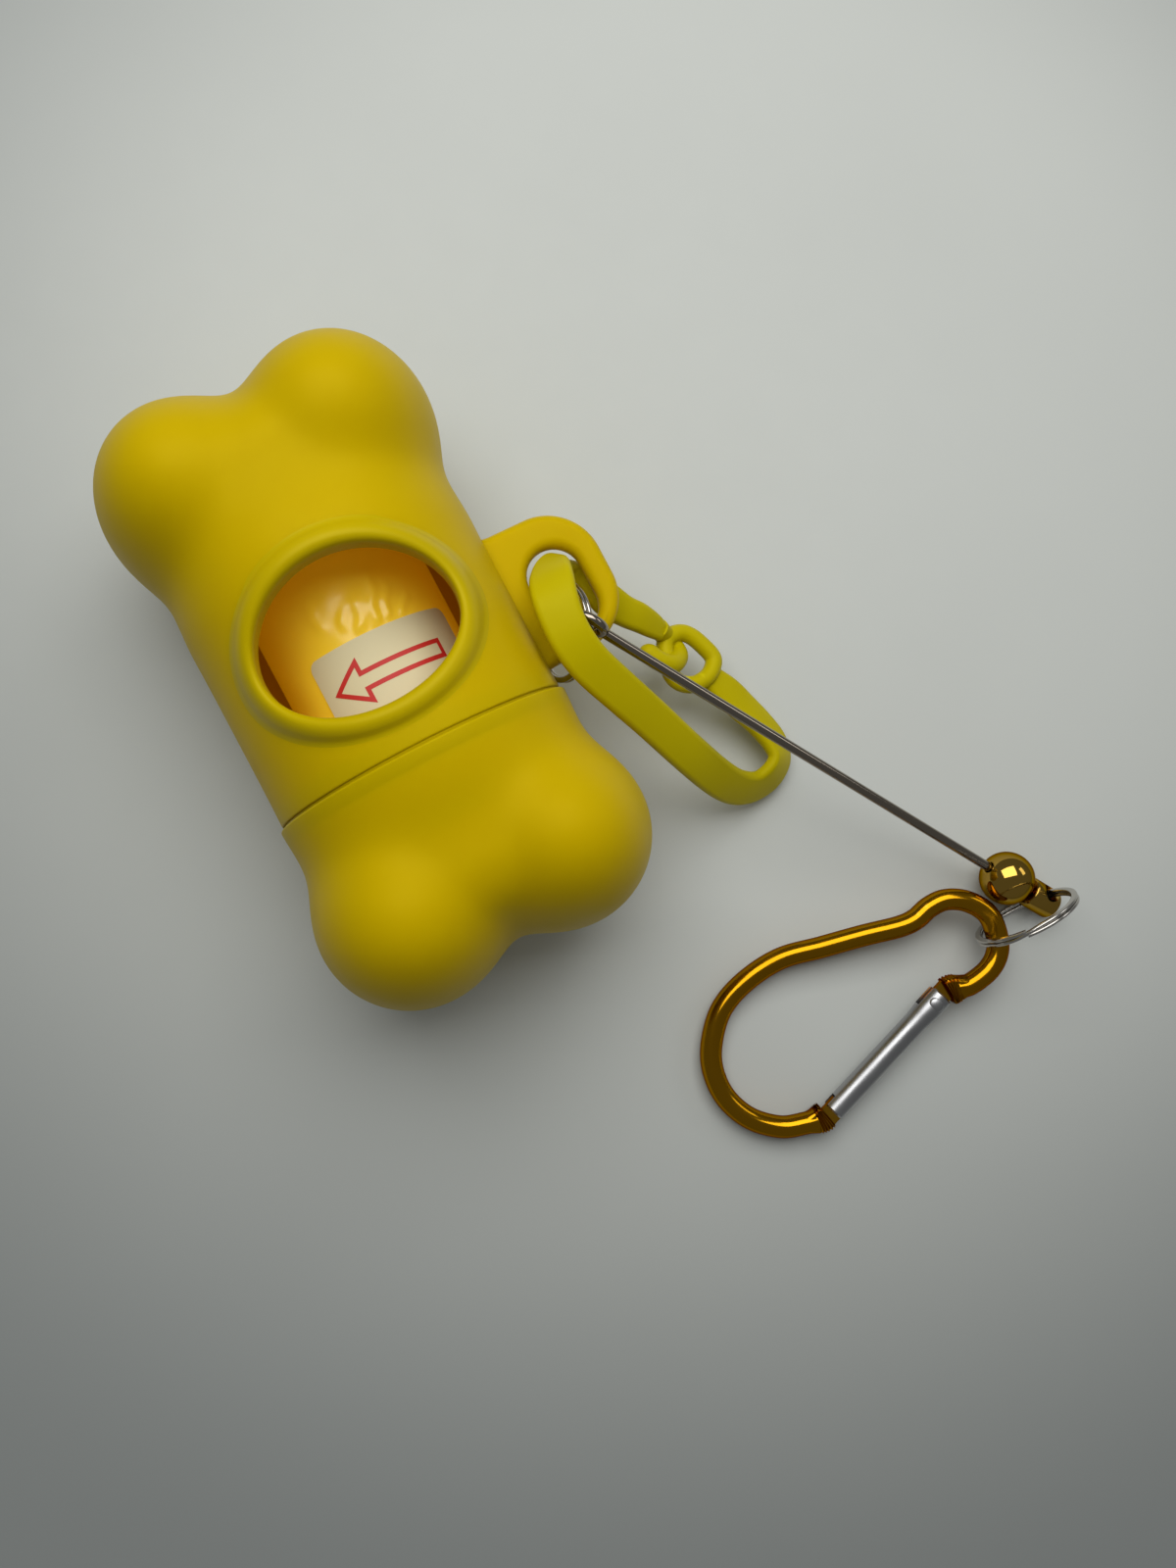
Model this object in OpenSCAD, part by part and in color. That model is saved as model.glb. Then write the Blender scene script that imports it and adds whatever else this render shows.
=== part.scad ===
// Bone-shaped dispenser for rolls of dog waste bags, lying at rest on a table.
// A strap, a split ring, a bead rod and a small snap hook hang on its ear.
// +Y runs along the bone from the cap to the case, +X to the ear's side, +Z up.

/* [Layout] */
// Bone's mid-length, sideways from the origin
bone_x = -26.3; // [-40:0.1:0]
// Bone's mid-length, along the bone from the origin
bone_y = 22.4; // [0:0.1:40]

/* [Bone] */
// Radius of the case's round neck
neck_r = 19.7; // [18.5:0.1:21]
// How much further out the cap stands than the case
cap_step = 0.5; // [0.2:0.1:0.8]
// Sideways distance from the bone's axis to a lobe's centre
lobe_side = 9.9; // [8:0.1:12]
// Distance along the bone from its middle to the lobes' centres
lobe_along = 29.2; // [26:0.1:33]
// Radius of a lobe seen from above
lobe_r = 12.3; // [10:0.1:14]
// Half the thickness of a lobe
lobe_half_h = 19.5; // [16:0.1:20]
// Softness of the blend between neck and lobes
blend = 2.3; // [1.5:0.1:3]
// How far the bone's round middle lies inside the neck
middle_in = 1.8; // [1.5:0.1:3]
// Half the length of the full middle
middle_half = 34.3; // [30:0.1:36]
// Rounding of the full middle's end
middle_round = 8; // [4:0.1:12]
// Wall of the moulded shells
wall = 2; // [1.4:0.1:2.4]
// Seam between cap and case, along the bone from its middle
seam = -12.4; // [-14:0.1:-8]
// Gap at the seam
seam_gap = 0.3; // [0.1:0.05:0.5]

/* [Screw neck] */
// Length of the neck that goes into the cap
neck_len = 8.5; // [6:0.1:10]
// Wall of the neck tube
neck_wall = 1.6; // [1.2:0.1:2]
// Height of the thread ridges on the neck
ridge_h = 0.4; // [0.3:0.05:0.7]
// Height of the thread ridges in the cap
cap_ridge_h = 0.3; // [0.2:0.05:0.6]
// Rise of the thread in one turn
pitch = 3.5; // [3:0.1:4]
// Free space between the neck's ridges and the cap's
thread_gap = 0.3; // [0.15:0.05:0.4]

/* [Window] */
// Window's centre, along the bone from its middle
window_along = 2.4; // [0:0.1:4]
// Half the window's opening, across the bone
window_half_x = 12.3; // [10:0.1:13]
// Half the window's opening, along the bone
window_half_y = 9.3; // [7:0.1:10]
// Wall of the window ring inside the case's hole
ring_wall = 1.2; // [0.8:0.1:1.6]
// Width of the ring's flange on the case
ring_flange = 1.3; // [0.8:0.1:1.6]
// Height of the ring's bead over the case
ring_bead = 1.2; // [0.8:0.1:2]
// Free space between the window ring and the case
ring_gap = 0.05; // [0.02:0.01:0.1]

/* [Ear] */
// Thickness of the ear
ear_t = 3; // [2.4:0.1:3.2]
// Distance of the ear's round corners' centres from the neck
ear_reach = 6.15; // [6:0.1:8]
// Radius of the ear's round corners
ear_r = 7.5; // [6.5:0.05:8]
// Half the distance between the ear's corner centres
ear_half = 1.95; // [1.5:0.05:3.5]
// Distance of the ear's hole from the neck
eyelet_reach = 6.6; // [6.3:0.1:7]
// Radius of the hole's round ends
eyelet_r = 3.7; // [3.2:0.05:3.8]
// Lower and upper centre of the hole's round ends, along the bone
eyelet_along = [-3.4, 1.1]; // [-4:0.1:3]

/* [Bag roll] */
// Radius of the wound film
roll_r = 12; // [9:0.1:13]
// Length of the roll
roll_len = 54; // [50:0.5:55]
// Outer radius of the paper core
core_r = 6.3; // [5:0.1:8]
// Wall of the paper core
core_wall = 1; // [0.6:0.1:1.5]
// Thickness of the loose outer bag
outer_t = 0.3; // [0.2:0.05:0.5]
// Thickness of the label
label_t = 0.12; // [0.1:0.01:0.2]
// Half the label's size along the bone
label_half = 5.2; // [4:0.1:9]
// Place of the label's middle along the roll
label_at = -1.6; // [-8:0.1:8]
// Half the angle that the label covers
label_turn = 48; // [30:1:70]
// Angle of the label's middle from the top, towards the ear
label_lean = 12; // [-30:1:30]
// Free space under the roll
roll_gap = 0.3; // [0.2:0.05:0.6]

/* [Strap] */
// Thickness of the strap
strap_t = 1.9; // [1.5:0.1:2.1]
// Radius of the strap's hook
hook_r = 1.35; // [1:0.05:1.5]
// Mean radius of the strap's eye
eye_r = 3.6; // [3.2:0.1:4]
// Radius of the strap's eye bar
eye_bar_r = 1.1; // [0.8:0.05:1.2]

/* [Rings and rod] */
// Thickness of both turns of a split ring
ring_t = 1.2; // [1:0.05:1.4]
// Radial width of a split ring's turns
ring_band = 0.9; // [0.7:0.05:1]
// Mean radius of the ear ring
ear_ring_r = 6.35; // [6.2:0.05:6.5]
// Mean radius of the hook ring
hook_ring_r = 7.4; // [7:0.05:7.4]
// Radius of the bead rod
rod_r = 0.7; // [0.6:0.05:0.8]
// Mean radius of the rod's eye
rod_eye_r = 2.15; // [2:0.01:2.3]
// Distance from the rod's eye to the ball's centre
rod_len = 75.7; // [70:0.1:78]
// Radius of the ball
ball_r = 4; // [3:0.1:4.2]
// Free space round the rod in the ball
ball_fit = 0.08; // [0.05:0.01:0.2]
// Free space between ball and stud
ball_gap = 0.3; // [0.1:0.05:0.5]
// Radius of the rod's end stud
stud_r = 2.3; // [2:0.1:2.4]
// Length of the rod's end stud
stud_len = 5; // [4.5:0.1:6]
// Depth of the rod in the stud
stud_seat = 0.9; // [0.5:0.1:1]
// Radius of the stud's cross hole
cross_r = 1.4; // [1.2:0.05:1.4]

/* [Snap hook] */
// Radius of the hook's wire
wire_r = 1.5; // [1.3:0.05:1.6]
// Lift of the hook towards its small end
hook_tilt = 4.4; // [0:0.1:6]
// Outer radius of the gate
gate_r = 1.7; // [1.5:0.05:1.8]
// Bore radius of the gate
gate_bore = 1.1; // [0.9:0.05:1.2]
// Length of the gate from its rivet to its free end
gate_len = 21.8; // [21:0.1:23]
// Direction of the closed gate in the hook's plane
gate_turn = -161.6; // [-170:0.01:-155]
// Depth of the hook's nose in the gate
nose_in = 1.6; // [1.2:0.1:2]
// Distance of the wire's nose past the gate
nose_past = 1.99; // [1.5:0.01:2.5]
// Radius of the gate's rivet
rivet_r = 0.6; // [0.5:0.05:0.7]
// Free space round the rivet in the hook's tang
rivet_fit = 0.05; // [0.02:0.01:0.1]
// Thickness of the hook's flat tang and nose
tang_t = 1; // [0.8:0.1:1.2]
// Half the width of the tang and nose
tang_half = 1.4; // [1:0.1:1.6]
// Free space round the tang and nose
tang_gap = 0.3; // [0.2:0.05:0.4]
// Half the width of the hook's flattened blocks
block_half = 1.85; // [1.6:0.05:2.2]
// Length of the hook's flattened block behind the gate
block_len = 2.6; // [2.2:0.1:3]
// Free space between the gate's ends and the blocks
block_gap = 1; // [0.6:0.1:1.4]
// Thickness of the hook's flattened blocks
block_t = 2.7; // [2:0.1:2.9]
// Radius of the plunger in the gate
plunger_r = 1.02; // [0.8:0.01:1.1]
// Length of the plunger
plunger_len = 3; // [2:0.1:4]
// Radius of the spring's wire
spring_wire = 0.16; // [0.1:0.01:0.2]
// Length of the spring in the gate
spring_len = 9; // [7:0.5:11]
// Turns of the spring
spring_turns = 9; // [6:1:12]

/* [Hidden] */

// Shell mesh: points round the bone, steps over each end and where the end's rays start
around = 56;
dome_step = 5;
dome_centre = 14;
neck_half = 11.2;
soft = 0.6;
eps = 0.01;
fine = 64;

cap_r = neck_r + cap_step;
middle_r = neck_r - middle_in;
ear_out = neck_r + ear_reach;
eyelet_out = neck_r + eyelet_reach;
axis_z = cap_r + 0.1;
cap_bore = cap_r - wall + 0.1;
neck_out = cap_bore - cap_ridge_h - thread_gap - ridge_h;
neck_bore = neck_out - neck_wall;
cap_mouth = -seam + seam_gap;
mouth_wall = 3;

wrap_r = roll_r + outer_t;
roll_z = -(neck_bore - roll_gap - wrap_r - label_t);

// Places below are taken from the neck's side at the bone's mid-length
ear_ring_at = [4.33, -5.77, -1.23];
ear_ring_dir = [-0.825, 0.357, 0.439];
rod_eye_at = [6.8, -7.1, 4.7];
rod_dir = [0.5515, -0.7902, -0.2672] / norm([0.5515, -0.7902, -0.2672]);
rod_eye_dir = [-0.8, -0.592, 0.099];
stud_from = rod_len + sqrt(pow(ball_r, 2) - pow(rod_r, 2)) + ball_gap;
cross_at = rod_eye_at + rod_dir * (stud_from + stud_len / 2);
cross_dir = [0.693, 0.008, 0.721];
hook_ring_at = cross_at + (hook_ring_r - 0.2) * [-0.721, -0.035, 0.692];
hook_ring_dir = [-0.031, 0.999, 0.018];
hook_at = cross_at + [-32.376, -0.756, 0.748];

// Snap hook's wire in the hook's plane: rows from the nose, then rows from the gate's rivet
rivet_at = [9.7, -4.6];
tang_len = gate_r + 0.1 + block_gap + block_len / 2;
nose_at = rivet_at + (gate_len + nose_past) * [cos(gate_turn), sin(gate_turn)];
BOW = [[-0.7, 0.6], [-2.5, 1], [-6, 2.3], [-9.4, 5.6], [-11.1, 10], [-10.8, 14.5],
       [-9, 18.1], [-5.5, 21.6], [-0.6, 23.5]];
NECK = [[-17, 16.5], [-10.8, 15.1], [-4.6, 13.7], [0.8, 12.3], [3.5, 12.1], [6.2, 12.7],
        [8.9, 12.5], [11.6, 10.8], [13.4, 7.9], [13.3, 4.8], [12.1, 2.1], [9.7, 0.4],
        [6.2, -0.2], [4.2, 0.3]];
WIRE = concat([for (p = BOW) nose_at + p], [for (p = NECK) rivet_at + p]);

// Strap's middle line: place, width direction and half width
BAND = [[[18.4, -11.2, -7.4], [0.74, 0.67, 0], 1.6],
        [[16.5, -9, -6.4], [0.74, 0.67, 0], 2.3],
        [[14.3, -6.6, -5.2], [0.74, 0.67, 0], 2.5],
        [[12.3, -4.2, -4.3], [0.8, 0.6, 0], 2.4],
        [[11.3, -1.4, -4], [0.9, 0.4, 0], 2],
        [[9.7, 1.2, -3.5], [0.9, -0.1, 0.3], 1.6],
        [[8.2, 2.5, -1.9], [0.8, -0.5, 0.4], 1.5],
        [[7.8, 2.7, 0.4], [0.8, -0.6, 0], 1.5],
        [[7, 2.3, 2.6], [0.85, -0.4, 0], 1.9],
        [[5.9, 1.3, 5.2], [0.9, -0.1, 0], 2.5],
        [[4.8, -0.3, 7.3], [0.95, 0.1, 0], 2.9],
        [[3.8, -2.9, 8.8], [1, 0, 0], 2.9],
        [[3.3, -6, 9], [1, 0, 0], 2.8],
        [[3.4, -9, 8.4], [1, 0.1, 0], 2.8],
        [[4.3, -12.3, 6.8], [0.95, 0.25, 0], 2.8],
        [[6.5, -16.6, 3.7], [0.9, 0.4, 0], 2.8],
        [[9.1, -21.3, -0.2], [0.9, 0.45, 0], 2.8],
        [[12.6, -27.9, -5.7], [0.88, 0.47, 0.1], 2.8],
        [[15.7, -32.9, -10.8], [0.8, 0.5, 0.3], 2.8],
        [[18.3, -35.7, -14.2], [0.62, 0.56, 0.55], 2.8],
        [[21.3, -37, -16.3], [0.25, 0.6, 0.75], 2.8],
        [[24.5, -36.6, -16.7], [-0.1, 0.6, 0.8], 2.8],
        [[26.7, -35, -16.7], [-0.5, 0.4, 0.8], 2.7],
        [[27.1, -32.4, -16.5], [-0.75, 0, 0.66], 2.6],
        [[26.3, -29.1, -16], [-0.8, -0.1, 0.6], 2.6],
        [[25, -25.8, -15.3], [-0.85, -0.2, 0.5], 2.6],
        [[23.6, -22.6, -14.3], [-0.9, -0.3, 0.3], 2.4],
        [[22, -19.3, -13.2], [-0.93, -0.3, 0.2], 1.8]];
HOOK = [[[17.5, -10.1, -6.9], [1, 0, 0], hook_r],
        [[18.7, -11.4, -7.9], [1, 0, 0], hook_r],
        [[19.6, -13, -9.5], [1, 0, 0], hook_r],
        [[19.4, -14.7, -10.9], [1, 0, 0], hook_r],
        [[18, -15.7, -11.3], [0, -1, 0], hook_r],
        [[16.4, -15.3, -10.6], [0, -1, 0], hook_r],
        [[15.2, -13.7, -9.6], [0, -1, 0], hook_r],
        [[14.6, -12, -9], [0, -1, 0], hook_r]];
eye_at = [20.4, -15.9, -12.1];
eye_dir = [0.3, 0.1, 0.95];

// Distances to the bone's parts, and the soft union of them all
function neck_d(p, rc) = norm([p[0], max(abs(p[1]) - neck_half, 0), p[2]]) - rc;
function lobe_d(p, side) =
    (norm([(p[0] - side) / lobe_r, (abs(p[1]) - lobe_along) / lobe_r, p[2] / lobe_half_h]) - 1) * lobe_r;
function middle_d(p) =
    let (a = norm([p[0], p[2]]) - middle_r + middle_round,
         b = abs(p[1]) - middle_half + middle_round)
    norm([max(a, 0), max(b, 0)]) + min(max(a, b), 0) - middle_round;
function both(a, b, k) = -k * ln(exp(-a / k) + exp(-b / k));
function bone_d(p, rc, side) =
    let (lobes = both(lobe_d(p, side), lobe_d(p, -side), blend))
    both(both(neck_d(p, rc), lobes, blend), middle_d(p), soft);
function reach(c, v, level, rc, side, lo = 5, hi = 45, n = 14) =
    n == 0 ? (lo + hi) / 2 :
    let (m = (lo + hi) / 2)
    bone_d(c + m * v, rc, side) > level ? reach(c, v, level, rc, side, lo, m, n - 1)
                                        : reach(c, v, level, rc, side, m, hi, n - 1);
function ray(y, lift, turn, level, rc, side) =
    let (c = [0, y, 0], v = [cos(turn) * cos(lift), sin(lift), sin(turn) * cos(lift)])
    c + reach(c, v, level, rc, side) * v;

// Smooth run through a list of rows
function smooth(a, b, c, d, t) =
    0.5 * (2 * b + (c - a) * t + (2 * a - 5 * b + 4 * c - d) * t * t + (3 * b - a - 3 * c + d) * t * t * t);
function run(list, steps) =
    let (n = len(list))
    [for (i = [0:n - 2])
        for (s = [0:(i == n - 2 ? steps : steps - 1)])
            let (a = list[max(i - 1, 0)], b = list[i], c = list[i + 1], d = list[min(i + 2, n - 1)])
            [for (k = [0:len(b) - 1]) smooth(a[k], b[k], c[k], d[k], s / steps)]];
function unit(v) = v / norm(v);
function course(rows, i) =
    unit(rows[min(i + 1, len(rows) - 1)][0] - rows[max(i - 1, 0)][0]);

// Side faces and two ends of a tube of point rings
function tube_faces(rings, n) = concat(
    [for (i = [0:rings - 2]) for (j = [0:n - 1])
        [(i + 1) * n + j, (i + 1) * n + (j + 1) % n, i * n + (j + 1) % n, i * n + j]],
    [[for (j = [0:n - 1]) j]],
    [[for (j = [n - 1:-1:0]) (rings - 1) * n + j]]);

module tube(points, n) {
    polyhedron(points = points, faces = tube_faces(len(points) / n, n), convexity = 8);
}

module at_bone() {
    translate([bone_x, bone_y, axis_z]) children();
}

module at_ear() {
    at_bone() translate([neck_r, 0, 0]) children();
}

module aim(c, v) {
    translate(c) rotate(acos(v[2] / norm(v)), cross([0, 0, 1], v)) children();
}

module along_y(y0, y1, r) {
    translate([0, y1, 0]) rotate([90, 0, 0]) cylinder(h = y1 - y0, r = r, $fn = fine);
}

// One rounded end of the bone, closed at its mouth
module bone_end(mouth, level, rc, side) {
    straight = [for (k = [0:4]) mouth + (dome_centre - mouth) * k / 4];
    lifts = [for (a = [dome_step:dome_step:90 - dome_step]) a];
    rings = concat([for (y = straight) [y, 0]], [for (a = lifts) [dome_centre, a]]);
    n = len(rings);
    points = concat(
        [for (q = rings) for (j = [0:around - 1])
            ray(q[0], q[1], -360 * j / around, level, rc, side)],
        [ray(dome_centre, 90, 0, level, rc, side)]);
    faces = concat(
        [for (i = [0:n - 2]) for (j = [0:around - 1])
            let (a = i * around + j, b = i * around + (j + 1) % around) each
            [[b + around, b, a], [a + around, b + around, a]]],
        [for (j = [0:around - 1]) [n * around, (n - 1) * around + (j + 1) % around, (n - 1) * around + j]],
        [[for (j = [0:around - 1]) j]]);
    polyhedron(points = points, faces = faces, convexity = 10);
}

// Thread ridge round the bone's axis, from its root radius to its crest
module ridge(y0, turns, root, crest) {
    per = 32;
    n = turns * per;
    low = [[root, -0.95], [crest, -0.3], [crest, 0.3], [root, 0.95]];
    flip = crest > root ? 1 : -1;
    tube([for (i = [0:n]) for (q = low)
        let (a = 360 * i / per) [q[0] * cos(a), y0 + pitch * i / per + flip * q[1], q[0] * sin(a)]], 4);
}

module oval(ax, ay) {
    polygon([for (a = [0:5:355]) [ax * cos(a), ay * sin(a)]]);
}

module window_prism(grow, z0, z1) {
    translate([0, window_along, z0])
        linear_extrude(z1 - z0) oval(window_half_x + grow, window_half_y + grow);
}

module ear() {
    difference() {
        translate([0, 0, -ear_t / 2]) linear_extrude(ear_t) {
            translate([neck_r - 1.2, -ear_half - ear_r])
                square([ear_out - neck_r + 1.2, 2 * (ear_half + ear_r)]);
            translate([ear_out - 1, -ear_half]) square([ear_r + 1, 2 * ear_half]);
            for (s = [-1, 1])
                translate([ear_out, s * ear_half]) circle(r = ear_r, $fn = fine);
        }
        translate([0, 0, -ear_t]) linear_extrude(2 * ear_t) {
            for (y = eyelet_along)
                translate([eyelet_out, y]) circle(r = eyelet_r, $fn = fine);
            translate([eyelet_out - eyelet_r, eyelet_along[0]])
                square([2 * eyelet_r, eyelet_along[1] - eyelet_along[0]]);
        }
    }
}

module case_shell() {
    color([0.72, 0.63, 0.02]) at_bone() difference() {
        union() {
            difference() {
                bone_end(seam, 0, neck_r, lobe_side);
                bone_end(seam + mouth_wall, -wall, neck_r, lobe_side);
            }
            along_y(seam - neck_len, seam + 1, neck_out);
            ridge(seam - neck_len + 1.6, 1.25, neck_out - 0.3, neck_out + ridge_h);
            ear();
        }
        along_y(seam - neck_len - 1, seam + mouth_wall + 1, neck_bore);
        window_prism(ring_wall, 5, neck_r + 5);
    }
}

module end_cap() {
    color([0.74, 0.65, 0.02]) at_bone() mirror([0, 1, 0]) {
        difference() {
            bone_end(cap_mouth, 0, cap_r, lobe_side + cap_step);
            bone_end(cap_mouth + 1, -wall, cap_r, lobe_side + cap_step);
            along_y(cap_mouth - 1, cap_mouth + neck_len + 1, cap_bore);
        }
        ridge(cap_mouth + 1.6, 1.25, cap_bore + 0.3, cap_bore - cap_ridge_h);
    }
}

module window_ring() {
    color([0.68, 0.64, 0.02]) at_bone() {
        difference() {
            window_prism(ring_wall - ring_gap, 5, neck_r + 5);
            window_prism(0, 4, neck_r + 6);
            along_y(-30, 30, neck_r - wall);
            difference() {
                along_y(-30, 30, neck_r + 10);
                along_y(-31, 31, neck_r + 3 * ring_gap);
            }
        }
        difference() {
            window_prism(ring_wall + ring_flange, 5, neck_r + 5);
            window_prism(0, 4, neck_r + 6);
            along_y(-30, 30, neck_r + 2 * ring_gap);
            difference() {
                along_y(-30, 30, neck_r + 10);
                along_y(-31, 31, neck_r + ring_bead);
            }
        }
    }
}

module roll_layer(outer, inner, half) {
    translate([0, 0, roll_z]) difference() {
        along_y(-half, half, outer);
        along_y(-half - 1, half + 1, inner);
    }
}

module film_roll() {
    color([0.8, 0.66, 0.2]) at_bone() roll_layer(roll_r, core_r, roll_len / 2);
}

module roll_core() {
    color([0.7, 0.6, 0.45]) at_bone() roll_layer(core_r, core_r - core_wall, roll_len / 2);
}

module outer_bag() {
    color([0.82, 0.68, 0.2]) at_bone() roll_layer(wrap_r, roll_r, roll_len / 2 - 1);
}

module roll_label() {
    far = 2 * wrap_r;
    color([0.8, 0.74, 0.57]) at_bone() translate([0, label_at, 0]) intersection() {
        roll_layer(wrap_r + label_t, wrap_r, label_half);
        translate([0, 0, roll_z]) rotate([90, 0, 0]) rotate(-label_lean)
            linear_extrude(far, center = true)
                polygon([[0, 0], far * [-sin(label_turn), cos(label_turn)], [0, 2 * far],
                         far * [sin(label_turn), cos(label_turn)]]);
    }
}

// Flat band swept along its middle line, with chamfered edges
module band(list, steps) {
    rows = run(list, steps);
    tube([for (i = [0:len(rows) - 1])
        let (t = course(rows, i),
             w = unit(rows[i][1] - (rows[i][1] * t) * t),
             n = cross(t, w),
             a = rows[i][2],
             b = strap_t / 2,
             c = 0.5)
        for (q = [[a, -b + c], [a, b - c], [a - c, b], [c - a, b],
                  [-a, b - c], [-a, c - b], [c - a, -b], [a - c, -b]])
            rows[i][0] + q[0] * w + q[1] * n], 8);
}

module cord(list, steps, n) {
    rows = run(list, steps);
    tube([for (i = [0:len(rows) - 1])
        let (t = course(rows, i),
             w = unit(cross(t, [0.1, 0.2, 1])),
             m = cross(t, w))
        for (j = [0:n - 1])
            rows[i][0] + rows[i][2] * (cos(360 * j / n) * w + sin(360 * j / n) * m)], n);
}

module ear_strap() {
    color([0.63, 0.56, 0]) at_ear() {
        band(BAND, 3);
        cord(HOOK, 3, 12);
        aim(eye_at, eye_dir) rotate_extrude($fn = fine)
            translate([eye_r, 0]) circle(r = eye_bar_r, $fn = 24);
    }
}

// Two flat turns of wire with a shallow groove between them
module split_ring(mean) {
    rotate_extrude($fn = fine) difference() {
        translate([mean - ring_band / 2, -ring_t / 2]) square([ring_band, ring_t]);
        for (s = [-1, 1])
            translate([mean + s * ring_band / 2, 0]) circle(r = 0.12, $fn = 16);
    }
}

module ear_ring() {
    color([0.72, 0.72, 0.7]) at_ear() aim(ear_ring_at, ear_ring_dir) split_ring(ear_ring_r);
}

module bead_rod() {
    color([0.75, 0.75, 0.73]) at_ear() {
        aim(rod_eye_at, rod_eye_dir) rotate_extrude($fn = fine)
            translate([rod_eye_r, 0]) circle(r = rod_r, $fn = 24);
        aim(rod_eye_at + rod_dir * rod_eye_r, rod_dir)
            cylinder(h = stud_from + stud_seat - rod_eye_r, r = rod_r, $fn = 32);
    }
}

module rod_stud() {
    color([0.75, 0.75, 0.73]) at_ear() difference() {
        aim(rod_eye_at + rod_dir * stud_from, rod_dir) cylinder(h = stud_len, r = stud_r, $fn = fine);
        aim(rod_eye_at + rod_dir * (stud_from - 1), rod_dir)
            cylinder(h = stud_seat + 1, r = rod_r, $fn = 32);
        aim(cross_at - 2 * stud_r * cross_dir, cross_dir) cylinder(h = 4 * stud_r, r = cross_r, $fn = 32);
    }
}

module ball_bead() {
    color([0.78, 0.72, 0.5]) at_ear() aim(rod_eye_at + rod_dir * rod_len, rod_dir) difference() {
        sphere(r = ball_r, $fn = fine);
        translate([0, 0, -2 * ball_r]) cylinder(h = 4 * ball_r, r = rod_r + ball_fit, $fn = 32);
    }
}

module hook_ring() {
    color([0.72, 0.72, 0.7]) at_ear() aim(hook_ring_at, hook_ring_dir) split_ring(hook_ring_r);
}

module at_hook() {
    at_ear() translate(hook_at) rotate([0, -hook_tilt, 0]) children();
}

module at_gate() {
    at_hook() translate(rivet_at) rotate([0, 0, gate_turn]) children();
}

module hook_frame() {
    color([0.8, 0.66, 0.25]) {
        at_hook() cord([for (p = WIRE) [[p[0], p[1], 0], [0, 0, 1], wire_r]], 3, 16);
        at_gate() {
            translate([-gate_r - 0.1 - block_gap - block_len, -block_half, -block_t / 2])
                cube([block_len, 2 * block_half, block_t]);
            translate([gate_len + block_gap - 0.1, -block_half - 0.5, -block_t / 2])
                cube([block_len + 0.4, 2 * block_half, block_t]);
        }
        at_gate() translate([0, 0, -tang_t / 2]) linear_extrude(tang_t) {
            difference() {
                union() {
                    circle(r = tang_half, $fn = 32);
                    translate([-tang_len, -tang_half]) square([tang_len, 2 * tang_half]);
                }
                circle(r = rivet_r + rivet_fit, $fn = 32);
            }
            translate([gate_len - nose_in, -tang_half])
                square([nose_in + block_gap + block_len / 2, 2 * tang_half]);
        }
    }
}

module hook_gate() {
    color([0.72, 0.72, 0.72]) at_gate() difference() {
        translate([-gate_r - 0.1, 0, 0]) rotate([0, 90, 0])
            cylinder(h = gate_len + gate_r + 0.1, r = gate_r, $fn = fine);
        translate([tang_half + tang_gap - 0.1, 0, 0]) rotate([0, 90, 0])
            cylinder(h = plunger_len + spring_len + 0.1, r = gate_bore, $fn = 32);
        translate([-2 * gate_r, -2 * gate_r, -tang_t / 2 - tang_gap])
            cube([2 * gate_r + tang_half + tang_gap, 4 * gate_r, tang_t + 2 * tang_gap]);
        translate([gate_len - nose_in - tang_gap, -2 * gate_r, -tang_t / 2 - tang_gap])
            cube([2 * gate_r, 4 * gate_r, tang_t + 2 * tang_gap]);
        translate([0, 0, -2 * gate_r]) cylinder(h = 4 * gate_r, r = rivet_r, $fn = 32);
    }
}

module gate_rivet() {
    color([0.8, 0.66, 0.25]) at_gate()
        translate([0, 0, -gate_r]) cylinder(h = 2 * gate_r, r = rivet_r, $fn = 32);
}

module gate_plunger() {
    color([0.7, 0.7, 0.7]) at_gate() translate([tang_half + tang_gap, 0, 0])
        rotate([0, 90, 0]) cylinder(h = plunger_len, r = plunger_r, $fn = 32);
}

module gate_spring() {
    per = 12;
    mean = gate_bore - spring_wire - 0.06;
    start = tang_half + tang_gap + plunger_len + spring_wire;
    run_len = spring_len - 2 * spring_wire - 0.04;
    color([0.6, 0.6, 0.62]) at_gate()
        tube([for (i = [0:spring_turns * per]) for (j = [0:5])
            let (a = 360 * i / per, b = 60 * j, r = mean + spring_wire * cos(b))
            [start + run_len * i / (spring_turns * per) - spring_wire * sin(b),
             r * cos(a), r * sin(a)]], 6);
}

case_shell();
end_cap();
window_ring();
film_roll();
roll_core();
outer_bag();
roll_label();
ear_strap();
ear_ring();
bead_rod();
rod_stud();
ball_bead();
hook_ring();
hook_frame();
hook_gate();
gate_rivet();
gate_plunger();
gate_spring();
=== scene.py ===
import math

import bmesh
import bpy
import numpy as np
from mathutils import Matrix, Vector


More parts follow.
